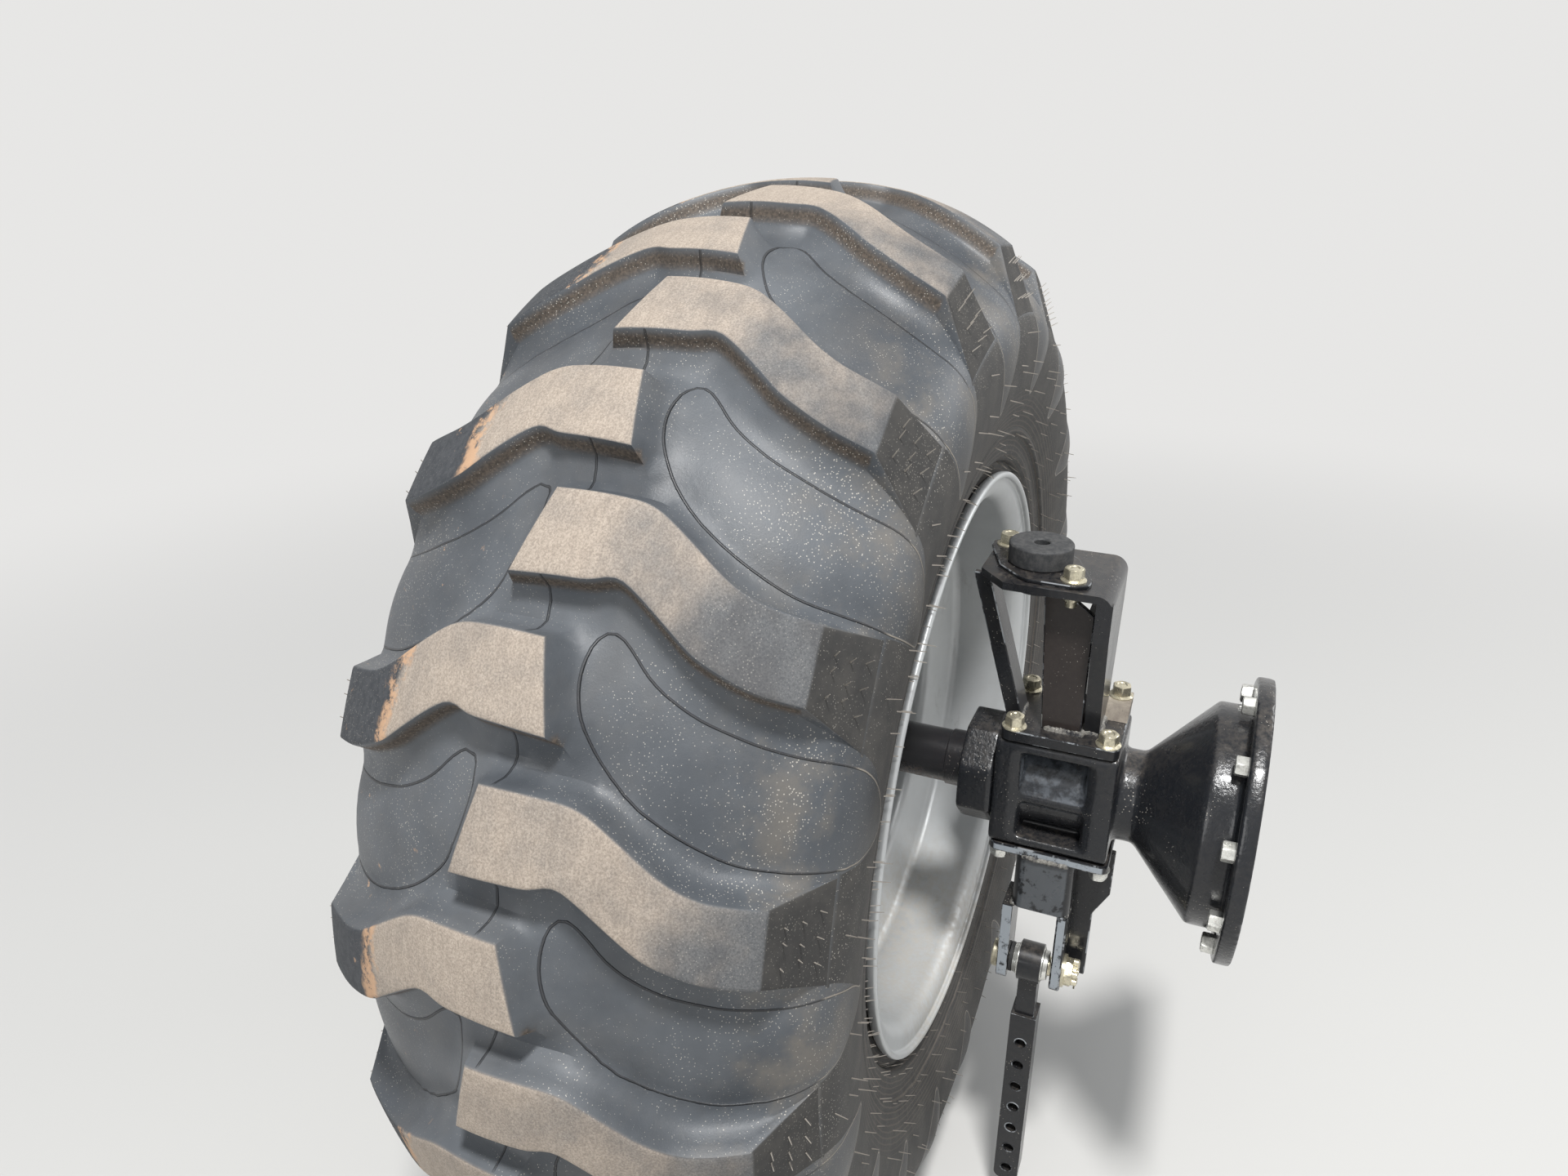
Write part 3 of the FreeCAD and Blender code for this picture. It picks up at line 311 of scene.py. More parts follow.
def section(s):
    """The carcass at arc lengths s of 0 or more: y, r and the normal's turn from radial."""
    turn = np.where(s <= S1, s / BASE_R,
                    np.where(s <= S2, MEET + (s - S1) / SHOULDER_R, math.pi / 2 + (s - S2) / SIDE_R))
    wave, fall = np.sin(turn), np.cos(turn)
    y = np.where(s <= S1, BASE_R * wave,
                 np.where(s <= S2, SHOULDER_Y + SHOULDER_R * wave, HALF_W - SIDE_R + SIDE_R * wave))
    r = np.where(s <= S1, CROWN_C + BASE_R * fall,
                 np.where(s <= S2, SHOULDER_C + SHOULDER_R * fall, SHOULDER_C + SIDE_R * fall))
    return y, r, turn


def on_axle(side_y, r, u):
    """Points in metres; side_y is positive towards the axle, u runs 600 mm a radian."""
    return np.stack([-r * np.cos(u / 600), WHEEL_Y - side_y, r * np.sin(u / 600)], axis=-1) / 1000


def tyre_points(flat, height):
    """Points at so much height over the carcass; flat holds arc length and u."""
    y, r, turn = section(np.abs(flat[:, 0]))
    sign = np.where(flat[:, 0] < 0, -1.0, 1.0)
    return on_axle(sign * (y + height * np.sin(turn)), r + height * np.cos(turn), flat[:, 1])


def top_s(y):
    """Arc length under a point of a lug's top at distance y from the middle plane."""
    return math.copysign(BASE_R * math.asin(abs(y) / CROWN_R), y)


def eased(points, closed, cut=0.22):
    """The run of points with its corners cut twice."""
    points = [np.array(p, float) for p in points]
    for _ in range(2):
        made, count = [], len(points)
        for n in range(count if closed else count - 1):
            here, there = points[n], points[(n + 1) % count]
            made += [here + (there - here) * cut, there - (there - here) * cut]
        points = made if closed else [points[0], *made[1:-1], points[-1]]
    return np.array(points)


def spaced(points, step):
    """The run of points sampled at about the step, its ends kept."""
    points = np.asarray(points, float)
    travelled = np.concatenate([[0], np.cumsum(np.hypot(*np.diff(points, axis=0).T))])
    at = np.linspace(0, travelled[-1], max(2, round(travelled[-1] / step)) + 1)
    return np.stack([np.interp(at, travelled, points[:, k]) for k in (0, 1)], axis=1)


def line_distance(points, line, closed=False):
    """Distance from each point to a run of segments."""
    line = np.asarray(line, float)
    ends = np.roll(line, -1, axis=0) if closed else line[1:]
    best = np.full(len(points), 1e9)
    for a, b in zip(line, ends):
        d = b - a
        t = np.clip(((points - a) @ d) / max(d @ d, 1e-12), 0, 1)
        best = np.minimum(best, np.hypot(*(points - a - t[:, None] * d).T))
    return best


def inside(points, ring):
    """Which points lie in the closed ring."""
    x, y = points[:, 0], points[:, 1]
    found = np.zeros(len(points), bool)
    for (x1, y1), (x2, y2) in zip(ring, np.roll(ring, -1, axis=0)):
        if y1 != y2:
            found ^= ((y1 > y) != (y2 > y)) & (x < (x2 - x1) * (y - y1) / (y2 - y1) + x1)
    return found


def pushed(ring, far):
    """The counter-clockwise ring moved outwards by far, one number or one a point."""
    first, second = ring - np.roll(ring, 1, axis=0), np.roll(ring, -1, axis=0) - ring
    sides = []
    for run in (first, second):
        run = run / np.hypot(*run.T)[:, None]
        sides.append(np.stack([run[:, 1], -run[:, 0]], axis=1))
    middle = sides[0] + sides[1]
    middle /= np.maximum(np.hypot(*middle.T), 1e-6)[:, None]
    reach = 1 / np.maximum((middle * sides[0]).sum(axis=1), 0.6)
    return ring + middle * (np.asarray(far) * reach)[:, None]


def lerp(a, b, share):
    return a + (b - a) * share


def lug_height(flat):
    """Height of a lug's top and end face over the carcass, in the lug's own s and u."""
    s, u = np.maximum(flat[:, 0], 0), flat[:, 1] / DEGREE
    run = np.clip((s - END_UPPER[0]) / (FOOT_UPPER[0] - END_UPPER[0]), 0, 1)
    low, high = lerp(END_LOWER[1], FOOT_LOWER[1], run), lerp(END_UPPER[1], FOOT_UPPER[1], run)
    w = np.clip((u - low) / (high - low), 0, 1)
    y0, r0, turn = section(s)
    ny, nr = np.sin(turn), np.cos(turn)
    dy, dr = y0, r0 - CROWN_C
    along = dy * ny + dr * nr
    crown = -along + np.sqrt(np.maximum(along**2 - dy**2 - dr**2 + CROWN_R**2, 0))
    end_s = lerp(END_LOWER[0], END_UPPER[0], w)
    ey, er = lerp(*END_Y, w), lerp(*END_R, w)
    fy, fr, _ = section(lerp(FOOT_LOWER[0], FOOT_UPPER[0], w))
    gy, gr = fy - ey, fr - er
    face = ((ey - y0) * gr - (er - r0) * gy) / np.maximum(ny * gr - nr * gy, -1e6).clip(None, -1e-3)
    return np.maximum(np.where(s < end_s, crown, np.minimum(crown, face)), 0.15)


def foot_height(flat):
    return WALL_FOOT * np.clip(lug_height(flat) / DEPTH, 0.0, 1.0)


def unrolled(points):
    """Arc lengths and degrees as arc lengths and u."""
    return [(s, a * DEGREE) for s, a in points]


def on_top(edge):
    """An edge of a lug's top as arc lengths and u."""
    return unrolled((top_s(y), a) for y, a in edge)


def moved(flat, side, turn):
    """Points of the lug's own frame in that of the tyre, or back with the turn reversed."""
    return np.stack([flat[:, 0] * side, flat[:, 1] + turn * DEGREE], axis=1)


def lug_outline():
    """The lug's top edge, counter-clockwise, and the places of its lower, upper and inner corner."""
    upper, lower = on_top(UPPER_EDGE), on_top(LOWER_EDGE)
    end = unrolled((END_LOWER, FOOT_LOWER, FOOT_UPPER, END_UPPER))
    runs = [
        spaced(eased([*lower, end[0]], False), EDGE_STEP),
        spaced(end[0:2], EDGE_STEP),
        spaced(end[1:3], EDGE_STEP * 1.5),
        spaced(end[2:4], EDGE_STEP),
        spaced(eased([end[3], *upper[::-1]], False), EDGE_STEP),
        spaced([upper[0], lower[0]], EDGE_STEP),
    ]
    counts = [len(run) - 1 for run in runs]
    return np.vstack([run[:-1] for run in runs]), counts[0], sum(counts[:4]), sum(counts[:5])


def triangles(points, held, keep):
    """Delaunay triangles with the edges held, where keep is true of their middles; no slivers."""
    made = delaunay_2d_cdt([Vector(p) for p in points], held, [], 0, 1e-4, True)
    if any(not origin for origin in made[3]):
        raise RuntimeError("outlines of the tread cross")
    back = np.array([origin[0] for origin in made[3]])
    faces = back[np.array([list(face) for face in made[2]])]
    a, b, c = np.moveaxis(np.asarray(points)[faces], 1, 0)
    area = (b[:, 0] - a[:, 0]) * (c[:, 1] - a[:, 1]) - (b[:, 1] - a[:, 1]) * (c[:, 0] - a[:, 0])
    return faces[keep((a + b + c) / 3) & (np.abs(area) > 0.02)]


def ring_edges(start, count):
    return [(start + n, start + (n + 1) % count) for n in range(count)]


def honeycomb(low, high):
    rows = np.arange(low[1], high[1], FILL_STEP * 0.87)
    return np.array([(x + (FILL_STEP / 2 if n % 2 else 0), y)
                     for n, y in enumerate(rows) for x in np.arange(low[0], high[0], FILL_STEP)])


class Pitch:
    """One pitch of the tyre: points with tread mark, pad and tongue distance, faces and seam."""

    def __init__(self):
        self.spots, self.marks, self.faces, self.seam = [], [], [], []
        self.count = 0

    def take(self, spots, mark=0.0, pad=-FAR, tongue=-FAR):
        """Adds points; returns their numbers."""
        self.spots.append(spots)
        self.marks.append(np.stack([np.broadcast_to(np.asarray(value, float), len(spots))
                                    for value in (mark, pad, tongue)], axis=1))
        self.count += len(spots)
        return np.arange(self.count - len(spots), self.count)

    def strip(self, above, below, closed=True):
        """Quads between two runs of the same length."""
        count = len(above)
        for n in range(count if closed else count - 1):
            m = (n + 1) % count
            self.faces.append((above[n], below[n], below[m], above[m]))


def base_height(flat, foot_ring):
    """Height of the carcass between lugs with fillets and pads; distance inside pad and tongue."""
    high = np.zeros(len(flat))
    pad, tongue = np.full(len(flat), -FAR), np.full(len(flat), -FAR)
    pad_ring, tongue_ring = eased(unrolled(PAD), True), eased(unrolled(TONGUE), True)
    lower, upper = np.array(on_top(LOWER_EDGE)), np.array(on_top(UPPER_EDGE))
    for side, turn in LUG_PLACES:
        own = moved(flat, side, -turn)
        near = (np.abs(own[:, 1] - 22 * DEGREE) < 22 * DEGREE) & (own[:, 0] > -90)
        part = own[near]
        away = line_distance(part, foot_ring, True)
        middle = (np.interp(part[:, 0], *lower.T) + np.interp(part[:, 0], *upper.T)) / 2
        below = np.clip((middle - part[:, 1]) / 40 + 0.5, 0, 1)
        width = 21 + 13 * below * below * (3 - 2 * below) + 16 * np.clip((-4 - part[:, 0]) / 24, 0, 1)
        fillet = foot_height(part) * np.clip(1 - away / width, 0, 1) ** 3.2
        high[near] = np.maximum(high[near], fillet)
        for found, outline in ((pad, pad_ring), (tongue, tongue_ring)):
            gap = line_distance(part, outline, True) * np.where(inside(part, outline), 1, -1)
            found[near] = np.maximum(found[near], gap)
    rise = np.clip(pad / 45, 0, 1) * np.clip((330 - np.abs(flat[:, 0])) / 50, 0, 1)
    return high + PAD_RISE * rise * (2 - rise), np.clip(pad, -FAR, FAR), np.clip(tongue, -FAR, FAR)


def make_lug(pitch, side, turn):
    """Adds one lug from its top to its foot; returns the foot ring flat and its numbers."""
    def placed(flat, high, mark):
        return pitch.take(tyre_points(moved(flat, side, turn), high), mark)

    ring, low_corner, high_corner, inner_corner = lug_outline()
    top = lug_height(ring)
    k = np.clip(top / 14.0, 0.12, 1.0)
    lower = np.arange(len(ring)) <= low_corner
    levels = []
    for out, down, mark in EDGE_LEVELS:
        place = pushed(ring, out * k)
        high = lug_height(place) if out < 0 else top
        levels.append((place, high - down * k, np.where(lower, mark, abs(mark))))
    left = np.maximum(top - down * k - foot_height(ring), 0.02)
    draft = np.where(np.arange(len(ring)) > inner_corner, END_DRAFT, DRAFT)
    for share in (0.5, 1.0):
        place = pushed(ring, out * k + left * share * draft)
        levels.append((place, top - down * k - left * share, np.where(lower, share - 1.5, 0.0)))
    numbers = [placed(*level) for level in levels]
    for above, below in zip(numbers, numbers[1:]):
        pitch.strip(above, below)
    top_ring, count = levels[0][0], len(ring)
    fill = honeycomb((-60, 5 * DEGREE), (END_S, 28 * DEGREE))
    edge = spaced([top_ring[low_corner], top_ring[high_corner]], 7.0)[1:-1]
    fill = fill[inside(fill, top_ring) & (line_distance(fill, top_ring, True) > 4.0)]
    fill = fill[line_distance(fill, edge) > 4.0]
    cloud = np.vstack([top_ring, edge, fill])
    run = [low_corner, *range(count, count + len(edge)), high_corner]
    found = triangles(cloud, ring_edges(0, count) + list(zip(run, run[1:])),
                      lambda middles: inside(middles, top_ring))
    number = np.concatenate([numbers[0], placed(cloud[count:], lug_height(cloud[count:]), 1.0)])
    pitch.faces += [tuple(number[face]) for face in found]
    return levels[-1][0], numbers[-1]


def make_pitch():
    """One lug of each side with the carcass round them, from the crown to the inner liner."""
    pitch = Pitch()
    foot_ring, first = make_lug(pitch, 1, 0.0)
    _, second = make_lug(pitch, -1, -10.0)

    def on_base(flat):
        high, *found = base_height(flat, foot_ring)
        return pitch.take(tyre_points(flat, high), 0.0, *found)

    line = spaced(unrolled(PITCH_LINE), FILL_STEP)
    high, *found = base_height(line, foot_ring)
    low_line = line - (0, PITCH * DEGREE)
    low = pitch.take(tyre_points(low_line, high), 0.0, *found)
    up = pitch.take(tyre_points(line, high), 0.0, *found)
    pitch.seam += list(zip(low, up))
    ends = {side: np.linspace(low_line[at], line[at], SIDE_COUNT) for side, at in ((1, -1), (-1, 0))}
    row = {side: on_base(ends[side][1:-1]) for side in ends}
    border = np.vstack([low_line, ends[1][1:-1], line[::-1], ends[-1][1:-1][::-1]])
    clouds, numbers = [border], [np.concatenate([low, row[1], up[::-1], row[-1][::-1]])]
    held, start, outlines = ring_edges(0, len(border)), len(border), []
    for side, turn, previous in ((1, 0.0, first), (-1, -10.0, second)):
        for out in (3.0, 8.0):
            wide = moved(pushed(foot_ring, out), side, turn)
            now = on_base(wide)
            pitch.strip(previous, now)
            previous = now
        clouds.append(wide)
        numbers.append(previous)
        held += ring_edges(start, len(wide))
        start += len(wide)
        outlines.append(wide)

    def between(flat):
        good = inside(flat, border)
        for ring in outlines:
            good &= ~inside(flat, ring)
        return good

    fill = honeycomb((-END_S, -8 * DEGREE), (END_S, 32 * DEGREE))
    fill = fill[between(fill)]
    for ring in (border, *outlines):
        fill = fill[line_distance(fill, ring, True) > 4.5]
    clouds.append(fill)
    numbers.append(on_base(fill))
    number = np.concatenate(numbers)
    pitch.faces += [tuple(number[face]) for face in triangles(np.vstack(clouds), held, between)]

    closing = []
    for side, at in ((1, -1), (-1, 0)):
        turns = ends[side][:, 1]
        previous = np.concatenate([[low[at]], row[side], [up[at]]])
        rows = []
        for arc, high in SIDE_ROWS:
            flat = np.stack([np.full(SIDE_COUNT, side * arc), turns], axis=1)
            lift, *found = base_height(flat, foot_ring)
            rows.append(pitch.take(tyre_points(flat, high + lift), 0.0, *found))
        for y, r in LINER:
            rows.append(pitch.take(on_axle(np.full(SIDE_COUNT, side * y), r, turns)))
        for now in rows:
            pitch.strip(previous, now, closed=False)
            pitch.seam.append((now[0], now[-1]))
            previous = now
        closing.append(previous)
    pitch.strip(*closing, closed=False)
    return pitch


def make_tyre():
    """The whole tyre as one closed mesh: the pitch repeated round the axle, seams shared."""
    pitch = make_pitch()
    spots = np.vstack(pitch.spots)
    marks = np.vstack(pitch.marks)
    shared = dict((up, low) for low, up in pitch.seam)
    kept = np.array([n for n in range(len(spots)) if n not in shared])
    number = np.full(len(spots), -1)
    number[kept] = np.arange(len(kept))
    every, faces = [], []
    for turn in range(PITCHES):
        angle = math.radians(PITCH * turn)
        cos, sin = math.cos(angle), math.sin(angle)
        x, y, z = spots[kept].T
        every.append(np.stack([x * cos + z * sin, y, z * cos - x * sin], axis=1))
        here, there = turn * len(kept), (turn + 1) % PITCHES * len(kept)
        for face in pitch.faces:
            faces.append([there + number[shared[n]] if n in shared else here + number[n] for n in face])
    piece = new_piece("tyre_tread", np.vstack(every), faces, 30)
    for name, values in zip(("tread", "pad", "tongue"), marks[kept].T):
        held = piece.data.attributes.new(name, "FLOAT", "POINT")
        held.data.foreach_set("value", np.tile(values, PITCHES).astype(np.float32))
    return piece


def bodywork_paint(name, color, rough, chips=0.0, cast=0.0, dust=0.35, back_highlight=0.0):
    """Glossy paint on steel: thin dust on what faces up, chips, a cast grain with a painted highlight on
    the barrel, and a painted highlight on faces turned to the rear.
    """
    p = Paint(name)
    cloud, fine = p.noise(14, 5, 0.6), p.noise(170, 5, 0.7)
    facing = p.node("SeparateXYZ", {0: p.node("NewGeometry").outputs["Normal"]}).outputs
    lying = p.ramp(facing["Z"], 0.5, 0.98)
    film = p.times(p.ramp(fine, 0.3, 0.75), p.blend(lying, 0.05, dust),
                   p.ramp(cloud, 0.35, 0.65, 0.2, 1.0))
    tint = p.mix(film, color, (0.24, 0.2, 0.16))
    grit = p.ramp(p.minus(p.specks(300), p.ramp(p.noise(23, 4), 0.42, 0.7, 0.0, 0.17)), 0.04, -0.01)
    tint = p.mix(p.times(grit, 0.7), tint, (0.5, 0.46, 0.4))
    if chips:
        nick = p.ramp(p.noise(38, 8, 0.75, (1, 1, 0.5)), 0.72 - chips, 0.735 - chips)
        tint = p.mix(nick, tint, (0.4, 0.41, 0.42))
    if cast:
        # Painted highlight: the barrel seen through the window at the rear gets a lighter blue-grey patch
        # that stands in for its sunlit reflection.
        x, y, z = (p.axis(name) for name in "XYZ")
        patch = p.times(p.ramp(p.noise(70, 5, 0.65), 0.4, 0.6, 0.15, 0.75),
                        p.ramp(p.size(x), 0.053, 0.0515), p.ramp(y, 0.15, 0.17),
                        p.ramp(y, 0.25, 0.23), p.ramp(z, -0.012, 0.0))
        tint = p.mix(patch, tint, (0.12, 0.133, 0.15))
    # Painted highlight: faces turned to the rear (towards -x) are painted a lighter blue-grey for the sheen
    # of light on them.
    if back_highlight:
        back_highlight_mask = p.times(p.ramp(facing["X"], -0.96, -0.85, back_highlight, 0.0),
                       p.ramp(p.noise(60, 5, 0.7), 0.36, 0.46))
        tint = p.mix(back_highlight_mask, tint, (0.33, 0.36, 0.39))
    dull = p.ramp(cloud, 0.3, 0.7, rough, rough + 0.1)
    dull = p.blend(p.most(film, p.times(grit, 0.8)), dull, 0.85)
    normal = p.bump(p.noise(45, 3, 0.5), 0.0006, 0.5)
    if cast:
        normal = p.bump(p.noise(230, 3, 0.6), cast, 0.8, normal)
    return p.finish(tint, dull, normal, specular=0.3, coat=(0.25, 0.08))


def dusty_paint():
    """A rough casting under an even coat of pale dust, dark only in its pits."""
    p = Paint("dusty_casting")
    cloud, fine = p.noise(25, 5, 0.6), p.noise(240, 5, 0.75)
    tint = p.mix(p.ramp(cloud, 0.35, 0.7), (0.16, 0.135, 0.11), (0.36, 0.32, 0.26))
    tint = p.mix(p.ramp(fine, 0.3, 0.42, 0.6, 0.0), tint, (0.06, 0.052, 0.045))
    return p.finish(tint, 0.85, p.bump(fine, 0.0008, 0.6))


def edge_paint():
    """Paint rubbed through to steel along an edge, with stretches that are still black."""
    p = Paint("worn_edge")
    rubbed = p.ramp(p.noise(34, 6, 0.7), 0.5, 0.58)
    tint = p.mix(rubbed, BLACK, (0.34, 0.36, 0.38))
    return p.finish(tint, p.blend(rubbed, 0.25, 0.38), metal=p.blend(rubbed, 0.0, 0.7))


def rim_paint():
    """Satin silver with beige dust low inside, faint drip marks and grit."""
    p = Paint("rim_silver")
    cloud, fine = p.noise(5, 5, 0.6), p.noise(120, 5, 0.7)
    low = p.ramp(p.plus(p.axis("Z"), p.times(cloud, 0.1)), -0.17, -0.27)
    film = p.times(p.ramp(fine, 0.25, 0.7), p.blend(low, 0.06, 0.6))
    silver = p.mix(p.ramp(cloud, 0.3, 0.7), (0.46, 0.475, 0.48), (0.56, 0.575, 0.58))
    tint = p.mix(film, silver, (0.42, 0.37, 0.3))
    marks = p.times(p.ramp(p.noise(24, 6, 0.7, (1, 1, 0.2)), 0.6, 0.7), 0.25)
    tint = p.mix(marks, tint, (0.2, 0.19, 0.18))
    return p.finish(tint, p.blend(film, 0.4, 0.72), p.bump(fine, 0.0002, 0.3), p.blend(film, 0.45, 0.05))


def shaft_paint():
    """Black oily steel with rusty dust along its underside."""
    p = Paint("dark_steel")
    cloud, fine = p.noise(22, 6, 0.65), p.noise(210, 5, 0.7)
    low = p.ramp(p.plus(p.axis("Z"), p.times(cloud, 0.05)), -0.004, 0.022, 1.0, 0.05)
    film = p.times(low, p.ramp(fine, 0.36, 0.66))
    tint = p.mix(film, (0.012, 0.012, 0.014), (0.11, 0.068, 0.046))
    grit = p.times(p.ramp(p.specks(300), 0.17, 0.1), p.ramp(cloud, 0.5, 0.66))
    tint = p.mix(p.times(grit, 0.6), tint, (0.45, 0.4, 0.34))
    return p.finish(tint, p.blend(film, 0.22, 0.8), p.bump(fine, 0.0003, 0.4), coat=(0.5, 0.12))


def zinc_paint(name, color):
    """Zinc plate with tarnish and a little dirt."""
    p = Paint(name)
    cloud, fine = p.noise(90, 5, 0.7), p.noise(500, 4, 0.6)
    tint = p.mix(p.ramp(cloud, 0.42, 0.68), color, tuple(c * 0.5 for c in color))
    tint = p.mix(p.times(p.ramp(fine, 0.55, 0.7), 0.4), tint, (0.3, 0.25, 0.2))
    return p.finish(tint, p.ramp(cloud, 0.4, 0.7, 0.24, 0.5), metal=0.8)


def mount_paint():
    """Moulded rubber with dust in its grain."""
    p = Paint("mount_rubber")
    fine = p.noise(150, 5, 0.7)
    tint = p.mix(p.ramp(fine, 0.35, 0.7, 0.05, 0.4), (0.025, 0.027, 0.03), (0.14, 0.135, 0.13))
    return p.finish(tint, 0.65, p.bump(fine, 0.0004, 0.5))


def bead_paint():
    """A painted weld with burnt, dusty and bright spots."""
    p = Paint("weld_bead")
    spots = p.noise(130, 5, 0.7)
    tint = p.mix(p.ramp(spots, 0.4, 0.55), (0.03, 0.03, 0.032), (0.2, 0.19, 0.17))
    tint = p.mix(p.ramp(spots, 0.6, 0.68), tint, (0.5, 0.48, 0.44))
    return p.finish(tint, 0.42, p.bump(spots, 0.0008, 0.8))


BLACK = (0.0095, 0.0105, 0.013)
rubber = rubber_paint()
casting = bodywork_paint("black_casting", (0.011, 0.0125, 0.0155), 0.2, cast=0.0007, dust=0.3)
dusty = dusty_paint()
black = bodywork_paint("black_paint", BLACK, 0.24, chips=0.035)
brown = bodywork_paint("brown_film", (0.024, 0.018, 0.0165), 0.4, chips=0.02)
# Black paint with a painted highlight, a lighter blue-grey on faces turned to the rear: strong on the
# bracket plate and ears, slight on the channel.
highlit_black = bodywork_paint("highlit_black_paint", BLACK, 0.24, chips=0.035, back_highlight=0.95)
lightly_highlit_black = bodywork_paint("lightly_highlit_black_paint", BLACK, 0.24, chips=0.035, back_highlight=0.22)
edge = edge_paint()
silver = rim_paint()
dark_steel = shaft_paint()
zinc = zinc_paint("yellow_zinc", (0.68, 0.63, 0.48))
pale_zinc = zinc_paint("pale_zinc", (0.74, 0.74, 0.7))
mount = mount_paint()
bead = bead_paint()


class Shape:
    """Points in millimetres and faces of one mesh piece, gathered from several forms."""

    def __init__(self):
        self.points, self.faces, self.count = [], [], 0

    def rings(self, rings, closed=False):
        """A skin over rings of the same count, capped at both ends unless they close on themselves."""
        count, last = len(rings[0]), len(rings)
        faces = []
        for a in range(last if closed else last - 1):
            b = (a + 1) % last
            for n in range(count):
                m = (n + 1) % count
                faces.append((a * count + n, a * count + m, b * count + m, b * count + n))
        if not closed:
            faces += [tuple(range(count))[::-1], tuple(range((last - 1) * count, last * count))]
        self.faces += [tuple(n + self.count for n in face) for face in faces]
        self.points += rings
        self.count += last * count

    def made(self, name, paint, body, slot):
        """The piece itself, with its paint and its body; the slot is not used."""
        piece = new_piece(name, np.vstack(self.points) / 1000, self.faces)
        piece.data.materials.append(paint)
        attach(piece, body)
        return piece


def circle(count, radius=1.0, z=0.0):
    """A level ring round the origin, with one radius or one for each point."""
    turn = np.arange(count) * math.tau / count
    return np.stack([radius * np.cos(turn), radius * np.sin(turn), np.full(count, z)], axis=1)


def standing(points, place, along, spin=0.0):
    """Points modelled upright on the origin, set on a place with their z along a direction."""
    turn = Vector((0, 0, 1)).rotation_difference(Vector(along)).to_matrix()
    turn = np.array(turn @ Matrix.Rotation(math.radians(spin), 3, "Z"))
    return np.asarray(points) @ turn.T + np.asarray(place, float)


def around(centre, radius, count, first=90.0):
    """Even places of a circle round a point, in x and z, with each one's number."""
    for n in range(count):
        turn = math.radians(first + 360 / count * n)
        yield n, centre[0] + radius * math.cos(turn), centre[1] + radius * math.sin(turn)


def rounded(corners, steps=5):
    """The closed run of corners, each given with the radius that rounds it in so many steps."""
    made, count = [], len(corners)
    for n, (a, b, radius) in enumerate(corners):
        here = np.array((a, b))
        back = np.array(corners[n - 1][:2]) - here
        ahead = np.array(corners[(n + 1) % count][:2]) - here
        back, ahead = back / np.hypot(*back), ahead / np.hypot(*ahead)
        half = math.acos(max(-1.0, min(1.0, float(back @ ahead)))) / 2
        if radius == 0 or half > 1.5:
            made.append(here)
            continue
        middle = here + (back + ahead) / np.hypot(*(back + ahead)) * radius / math.sin(half)
        start = here + back * radius / math.tan(half) - middle
        end = here + ahead * radius / math.tan(half) - middle
        sweep = math.atan2(start[0] * end[1] - start[1] * end[0], start @ end)
        for k in range(steps + 1):
            turn = sweep * k / steps
            made.append(middle + (start[0] * math.cos(turn) - start[1] * math.sin(turn),
                                  start[0] * math.sin(turn) + start[1] * math.cos(turn)))
    return np.array(made)


def lathe(shape, profile, count):
    """The closed profile of y and r turned about the wheel's axle."""
    y, r = profile.T
    turns = np.arange(count) * math.tau / count
    shape.rings([np.stack([r * math.cos(a), y, r * math.sin(a)], axis=1) for a in turns], closed=True)


def post(shape, place, along, levels, count=24, spin=0.0, closed=False):
    """A round solid on a place; levels are heights and radii."""
    shape.rings([standing(circle(count, r, z), place, along, spin) for z, r in levels], closed)


def hexagon(shape, place, along, flat, tall, foot=0.0, spin=0.0):
    """A hexagon head with its corners turned off, on a round flange of so much radius if given."""
    count = 48
    turn = np.arange(count) * math.tau / count
    six = flat / 2 / np.cos((turn + math.pi / 6) % (math.pi / 3) - math.pi / 6)
    base = tall * 0.2 if foot else 0.0
    levels = [(0, foot), (base * 0.45, foot), (base, six * 1.02)] if foot else [(0, six)]
    levels += [(tall - flat * 0.09, six), (tall - flat * 0.03, np.minimum(six, flat * 0.53)),
               (tall, flat * 0.46), (tall, flat * 0.3), (tall - 0.8, flat * 0.24)]
    post(shape, place, along, levels, count, spin)


def weld(shape, path, width):
    """A rippled bead along a run of points."""
    path = np.asarray(path, float)
    steps = np.hypot(np.hypot(*np.diff(path, axis=0)[:, :2].T), np.diff(path, axis=0)[:, 2])
    travelled = np.concatenate([[0], np.cumsum(steps)])
    at = np.arange(0, travelled[-1], 1.3)
    line = np.stack([np.interp(at, travelled, path[:, k]) for k in range(3)], axis=1)
    rings, last = [], len(line) - 1
    for n, spot in enumerate(line):
        along = line[min(n + 1, last)] - line[max(n - 1, 0)]
        ripple = 1 + 0.13 * math.sin(at[n] * 1.55) + 0.09 * math.sin(at[n] * 0.37 + 1.0)
        end = min(1.0, 0.45 + 0.2 * min(n, last - n))
        rings.append(standing(circle(8, width / 2 * ripple * end), spot, along))
    shape.rings(rings)


def whisker(shape, foot, tip, thick=0.7):
    """A thin straight bristle."""
    along = np.asarray(tip, float) - np.asarray(foot, float)
    shape.rings([standing(circle(3, thick), foot, along), standing(circle(3, thick * 0.55), tip, along)])


def corners_of(node):
    """Lowest and highest corner of a CAD node in millimetres."""
    low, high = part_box(node)
    return np.array(low) * 1000, np.array(high) * 1000


def dressed(node, *paints):
    """The CAD node itself in its paints, the double points of its mesh joined."""
    thing = nodes[node]
    thing.data.materials.clear()
    for paint in paints:
        thing.data.materials.append(paint)
    modify(thing, "WELD", merge_threshold=0.00002)
    return thing


def modify(thing, kind, **settings):
    """One more modifier with its settings."""
    made = thing.modifiers.new(kind.lower(), kind)
    for key, value in settings.items():
        setattr(made, key, value)


